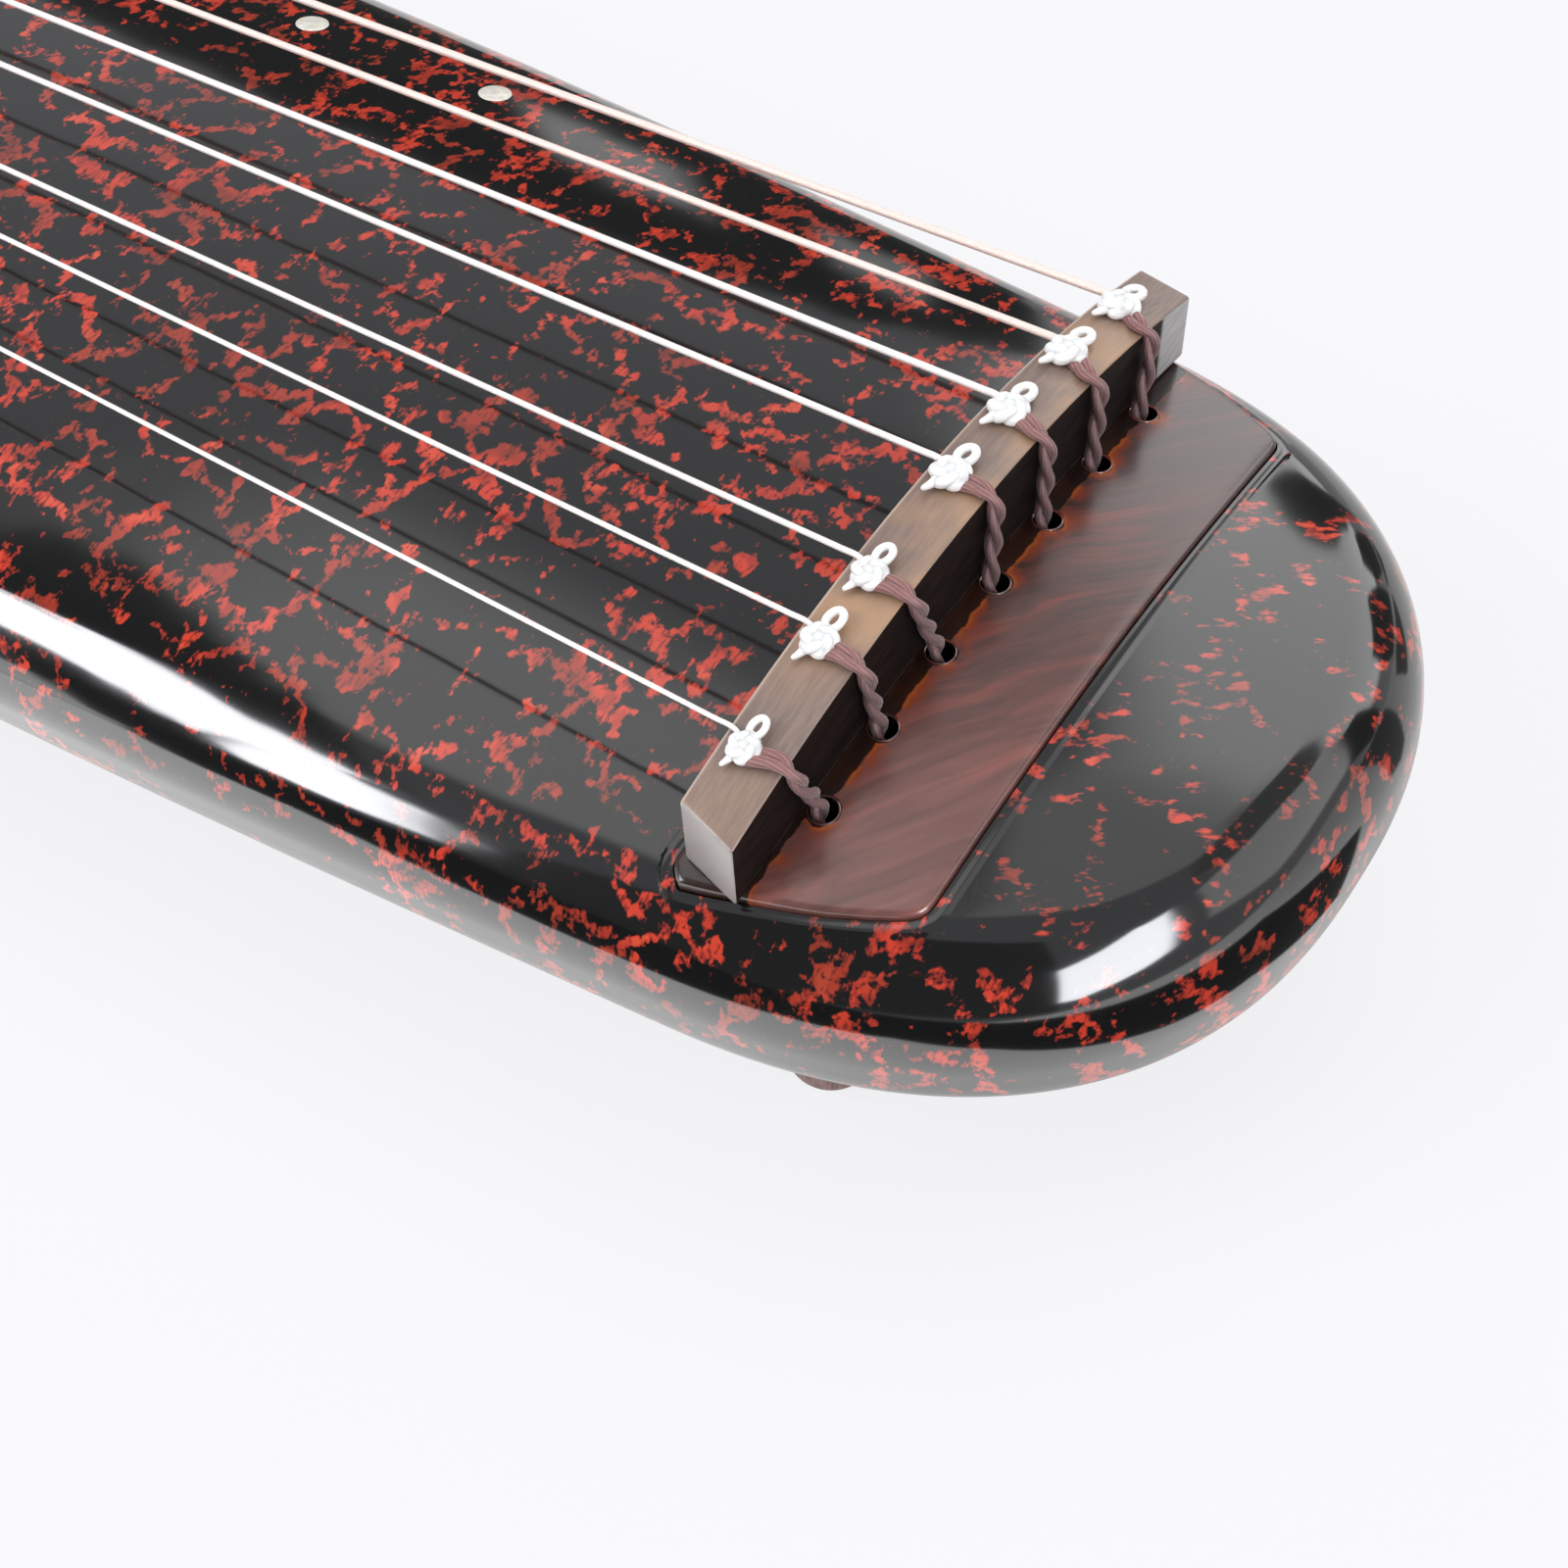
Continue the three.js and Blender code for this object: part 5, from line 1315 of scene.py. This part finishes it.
def sky_card(name, centre, distance, directions, strength, soft):
    """A card whose corners lie in given directions (azimuth, elevation) at a distance from a point."""
    card(name, np.array(centre) + distance * heading(*np.transpose(directions)), strength, soft)


def fence_card(name, line, strength):
    """An upright card along a line of points on the floor (x, y, height of its top there)."""
    x, y, top = np.array(line, float).T
    foot, head = xyz(x, y, 0), xyz(x, y, top)
    for i in range(len(line) - 1):
        card(f"{name}_{i + 1}", [foot[i], foot[i + 1], head[i + 1], head[i]], strength)


def make_cards():
    """Softboxes, panels and flags. Their outlines follow the photograph's highlights back from the lacquer, or were
    found by trial."""
    card("softbox_left", [
        (-0.36, -0.42, 0.94), (-0.267, -0.487, 0.982), (-0.218, -0.553, 0.941), (-0.126, -0.683, 0.853),
        (-0.051, -0.797, 0.769), (0.010, -0.885, 0.71), (0.046, -0.964, 0.629), (0.054, -1.150, 0.350),
        (0.0, -1.140, 0.290), (-0.06, -1.085, 0.31), (-0.105, -0.985, 0.410), (-0.15, -0.885, 0.52),
        (-0.20, -0.81, 0.575), (-0.29, -0.70, 0.64)
    ], 26.0, [0.03] * 5 + [0.05, 0.1, 0.1, 0.05] + [0.03] * 5, "fafbff")
    card("softbox_left_tail", [
        (0.046, -0.964, 0.629), (0.102, -1.085, 0.512), (0.17, -1.22, 0.46), (0.18, -1.28, 0.36),
        (0.102, -1.193, 0.342), (0.054, -1.144, 0.358)
    ], 6.0, [0.1, 0.6, 0.8, 0.8, 0.4, 0.1], "fafbff")
    card("flag_over_softbox", [
        (-0.70, 0.0, 1.28), (-0.70, 0.105, 1.385), (-0.68, 0.159, 1.49), (-0.551, 0.078, 1.525),
        (-0.49, 0.043, 1.548), (-0.243, -0.316, 1.297), (-0.036, -0.722, 0.925), (0.070, -0.94, 0.70),
        (0.052, -0.98, 0.60), (-0.05, -0.84, 0.73), (-0.18, -0.68, 0.84), (-0.30, -0.50, 0.90), (-0.55, -0.20, 1.0)
    ], 0.22, 0.14)
    card("softbox_front", [
        (1.33, -0.771, 0.14), (1.283, -0.643, 0.373), (1.241, -0.586, 0.525), (1.273, -0.39, 0.627),
        (1.292, -0.21, 0.748), (1.335, -0.051, 0.789), (1.439, -0.089, 0.502), (1.509, -0.164, 0.263),
        (1.489, -0.269, 0.216), (1.454, -0.402, 0.179), (1.401, -0.622, 0.105)
    ], 23.0, [0.04, 0.04, 0.04, 0.05, 0.06, 0.2, 0.32, 0.32, 0.15, 0.05, 0.04], "f8faff")
    sky_card("panel_head", HEAD_MIDDLE, 1.6, [
        (113, 14), (80, 8), (40, 4), (38, 46), (56, 60), (114, 64), (121, 34)
    ], 3.9, [0.2, 0.12, 0.2, 0.35, 0.45, 0.4, 0.3])
    sky_card("panel_overhead", (0.35, -0.02, 0.07), 2.2, [
        (148, 48), (188, 46), (228, 58), (240, 78), (110, 82), (118, 62)
    ], 2.5, 0.5)
    sky_card("panel_top", HEAD_MIDDLE, 1.7, [(128, 62), (110, 56), (40, 56), (10, 80), (170, 80)], 1.8, 0.3)
    near_line = [
        (0.0, -0.83, 0.50), (0.022, -0.799, 0.48), (0.186, -0.547, 0.23), (0.242, -0.477, 0.165),
        (0.264, -0.468, 0.145), (0.285, -0.46, 0.13), (0.343, -0.398, 0.12), (0.409, -0.296, 0.105),
        (0.441, -0.269, 0.095), (0.466, -0.256, 0.09), (0.56, -0.28, 0.075), (0.626, -0.234, 0.06),
        (0.656, -0.155, 0.052), (0.660, -0.09, 0.05), (0.666, -0.011, 0.05), (0.64, 0.03, 0.035)
    ]
    fence_card("flag_near", near_line, 0.11)
    sky_card("flag_left", NEAR_SIDE, 1.3, [
        (-118.5, -3), (-121, 0), (-123.5, 6.5), (-131, 28), (-118, 28)
    ], 0.11, 0.03)
    sky_card("wall_left", NEAR_SIDE, 1.4, [(-119, -6), (-119, 8), (-134, 8), (-134, -6)], 4.5, 0.05)
    floor_glow()
    card("flag_behind_camera", [
        (1.15, -0.5, 0.02), (0.31, -0.5, 0.10), (0.31, -0.5, 1.25), (1.15, -0.5, 1.25)
    ], 0.27, 0.04)
    card("flag_far", [
        (-0.9, 0.75, 0.0), (0.27, 0.75, 0.0), (0.25, 0.75, 0.42), (0.14, 0.75, 0.487), (0.0, 0.75, 0.543),
        (-0.15, 0.75, 0.56), (-0.9, 0.75, 0.52)
    ], 0.12, 0.03)
    card("far_wall_light", [
        (-0.10, 0.745, 0.31), (0.04, 0.745, 0.32), (0.05, 0.745, 0.42), (-0.09, 0.745, 0.41)
    ], 1.8, 0.5)
    card("far_wall_light_small", [
        (0.10, 0.745, 0.33), (0.19, 0.745, 0.34), (0.18, 0.745, 0.41), (0.11, 0.745, 0.41)
    ], 1.6, 0.5)
    for i, corners in enumerate([
        [(0.375, 0.893, 0.57), (0.376, 0.913, 0.541), (0.463, 0.974, 0.441), (0.579, 1.035, 0.24),
         (0.663, 1.037, 0.0), (0.602, 0.986, 0.407), (0.481, 0.865, 0.629), (0.457, 0.863, 0.628)],
        [(0.662, 1.012, 0.311), (0.701, 1.035, 0.02), (0.80, 1.0, 0.0), (0.837, 0.999, 0.191), (0.722, 0.985, 0.368)],
        [(0.809, 0.927, 0.461), (0.888, 0.99, 0.004), (1.06, 0.88, 0.004), (1.125, 0.866, 0.179),
         (1.041, 0.865, 0.376), (0.922, 0.908, 0.414)],
        [(1.261, 0.66, 0.439), (1.223, 0.721, 0.40), (1.255, 0.773, 0.054), (1.30, 0.70, 0.004),
         (1.376, 0.635, 0.135)],
    ]):
        middle = np.mean(corners, 0)
        card(f"dark_stand_{i + 1}", middle + 1.1 * (np.array(corners) - middle), 0.15, 0.06)
    for i, corners in enumerate([
        [(0.655, 0.80), (0.655, 0.42), (0.74, 0.574), (0.80, 0.80)],
        [(0.728, 0.52), (0.677, 0.249), (0.671, 0.199), (0.670, 0.165), (0.684, 0.18), (0.817, 0.368), (0.90, 0.60)],
        [(0.977, 0.477), (0.702, 0.157), (0.669, 0.117), (0.650, 0.094), (0.645, 0.080), (0.659, 0.078),
         (0.712, 0.119), (1.30, 0.56), (1.10, 0.62)],
    ]):
        card(f"dark_foot_{i + 1}", [(x, y, 0.003) for x, y in corners], 0.2, 0.04)
    sky_card("dark_boom", HEAD_END, 1.0, [
        (68, 50), (55, 40), (46, 31), (41, 32), (34, 43), (21, 46), (12, 56), (29, 66), (63, 65), (73, 59)
    ], 0.6, 0.12)
    sky_card("panel_low", HEAD_END, 1.5, [
        (46, 31), (34, 43), (21, 46), (4, 44), (-2, 16), (18, 4), (40, 2)
    ], 2.7, 0.12)


def lamp(name, azimuth, elevation, distance, size, power):
    """A soft white lamp that lights the object from a direction and doesn't show in reflections."""
    data = bpy.data.lights.new(name, "AREA")
    data.shape, data.size, data.size_y = "RECTANGLE", *size
    data.energy = power
    made = placed(name, data)
    away = distance * heading(azimuth, elevation)
    made.matrix_world = look(LAMPS_AIM + away, azimuth + 180, elevation, 0)
    made.visible_glossy = made.visible_camera = False


def make_lamps():
    """Plain soft light: a key from the near side, a fill from the head, a wide one overhead."""
    lamp("key_lamp", -125, 42, 1.8, (1.2, 0.8), 16)
    lamp("fill_lamp", -20, 35, 1.8, (1.0, 0.8), 7)
    lamp("top_lamp", 60, 75, 2.0, (2.0, 1.6), 18)


make_camera()
make_world()
make_floor()
make_cards()
make_lamps()
make_body()
make_strip()
make_bridge()
make_strings()
make_pegs()
make_studs()
make_tail()
make_feet()
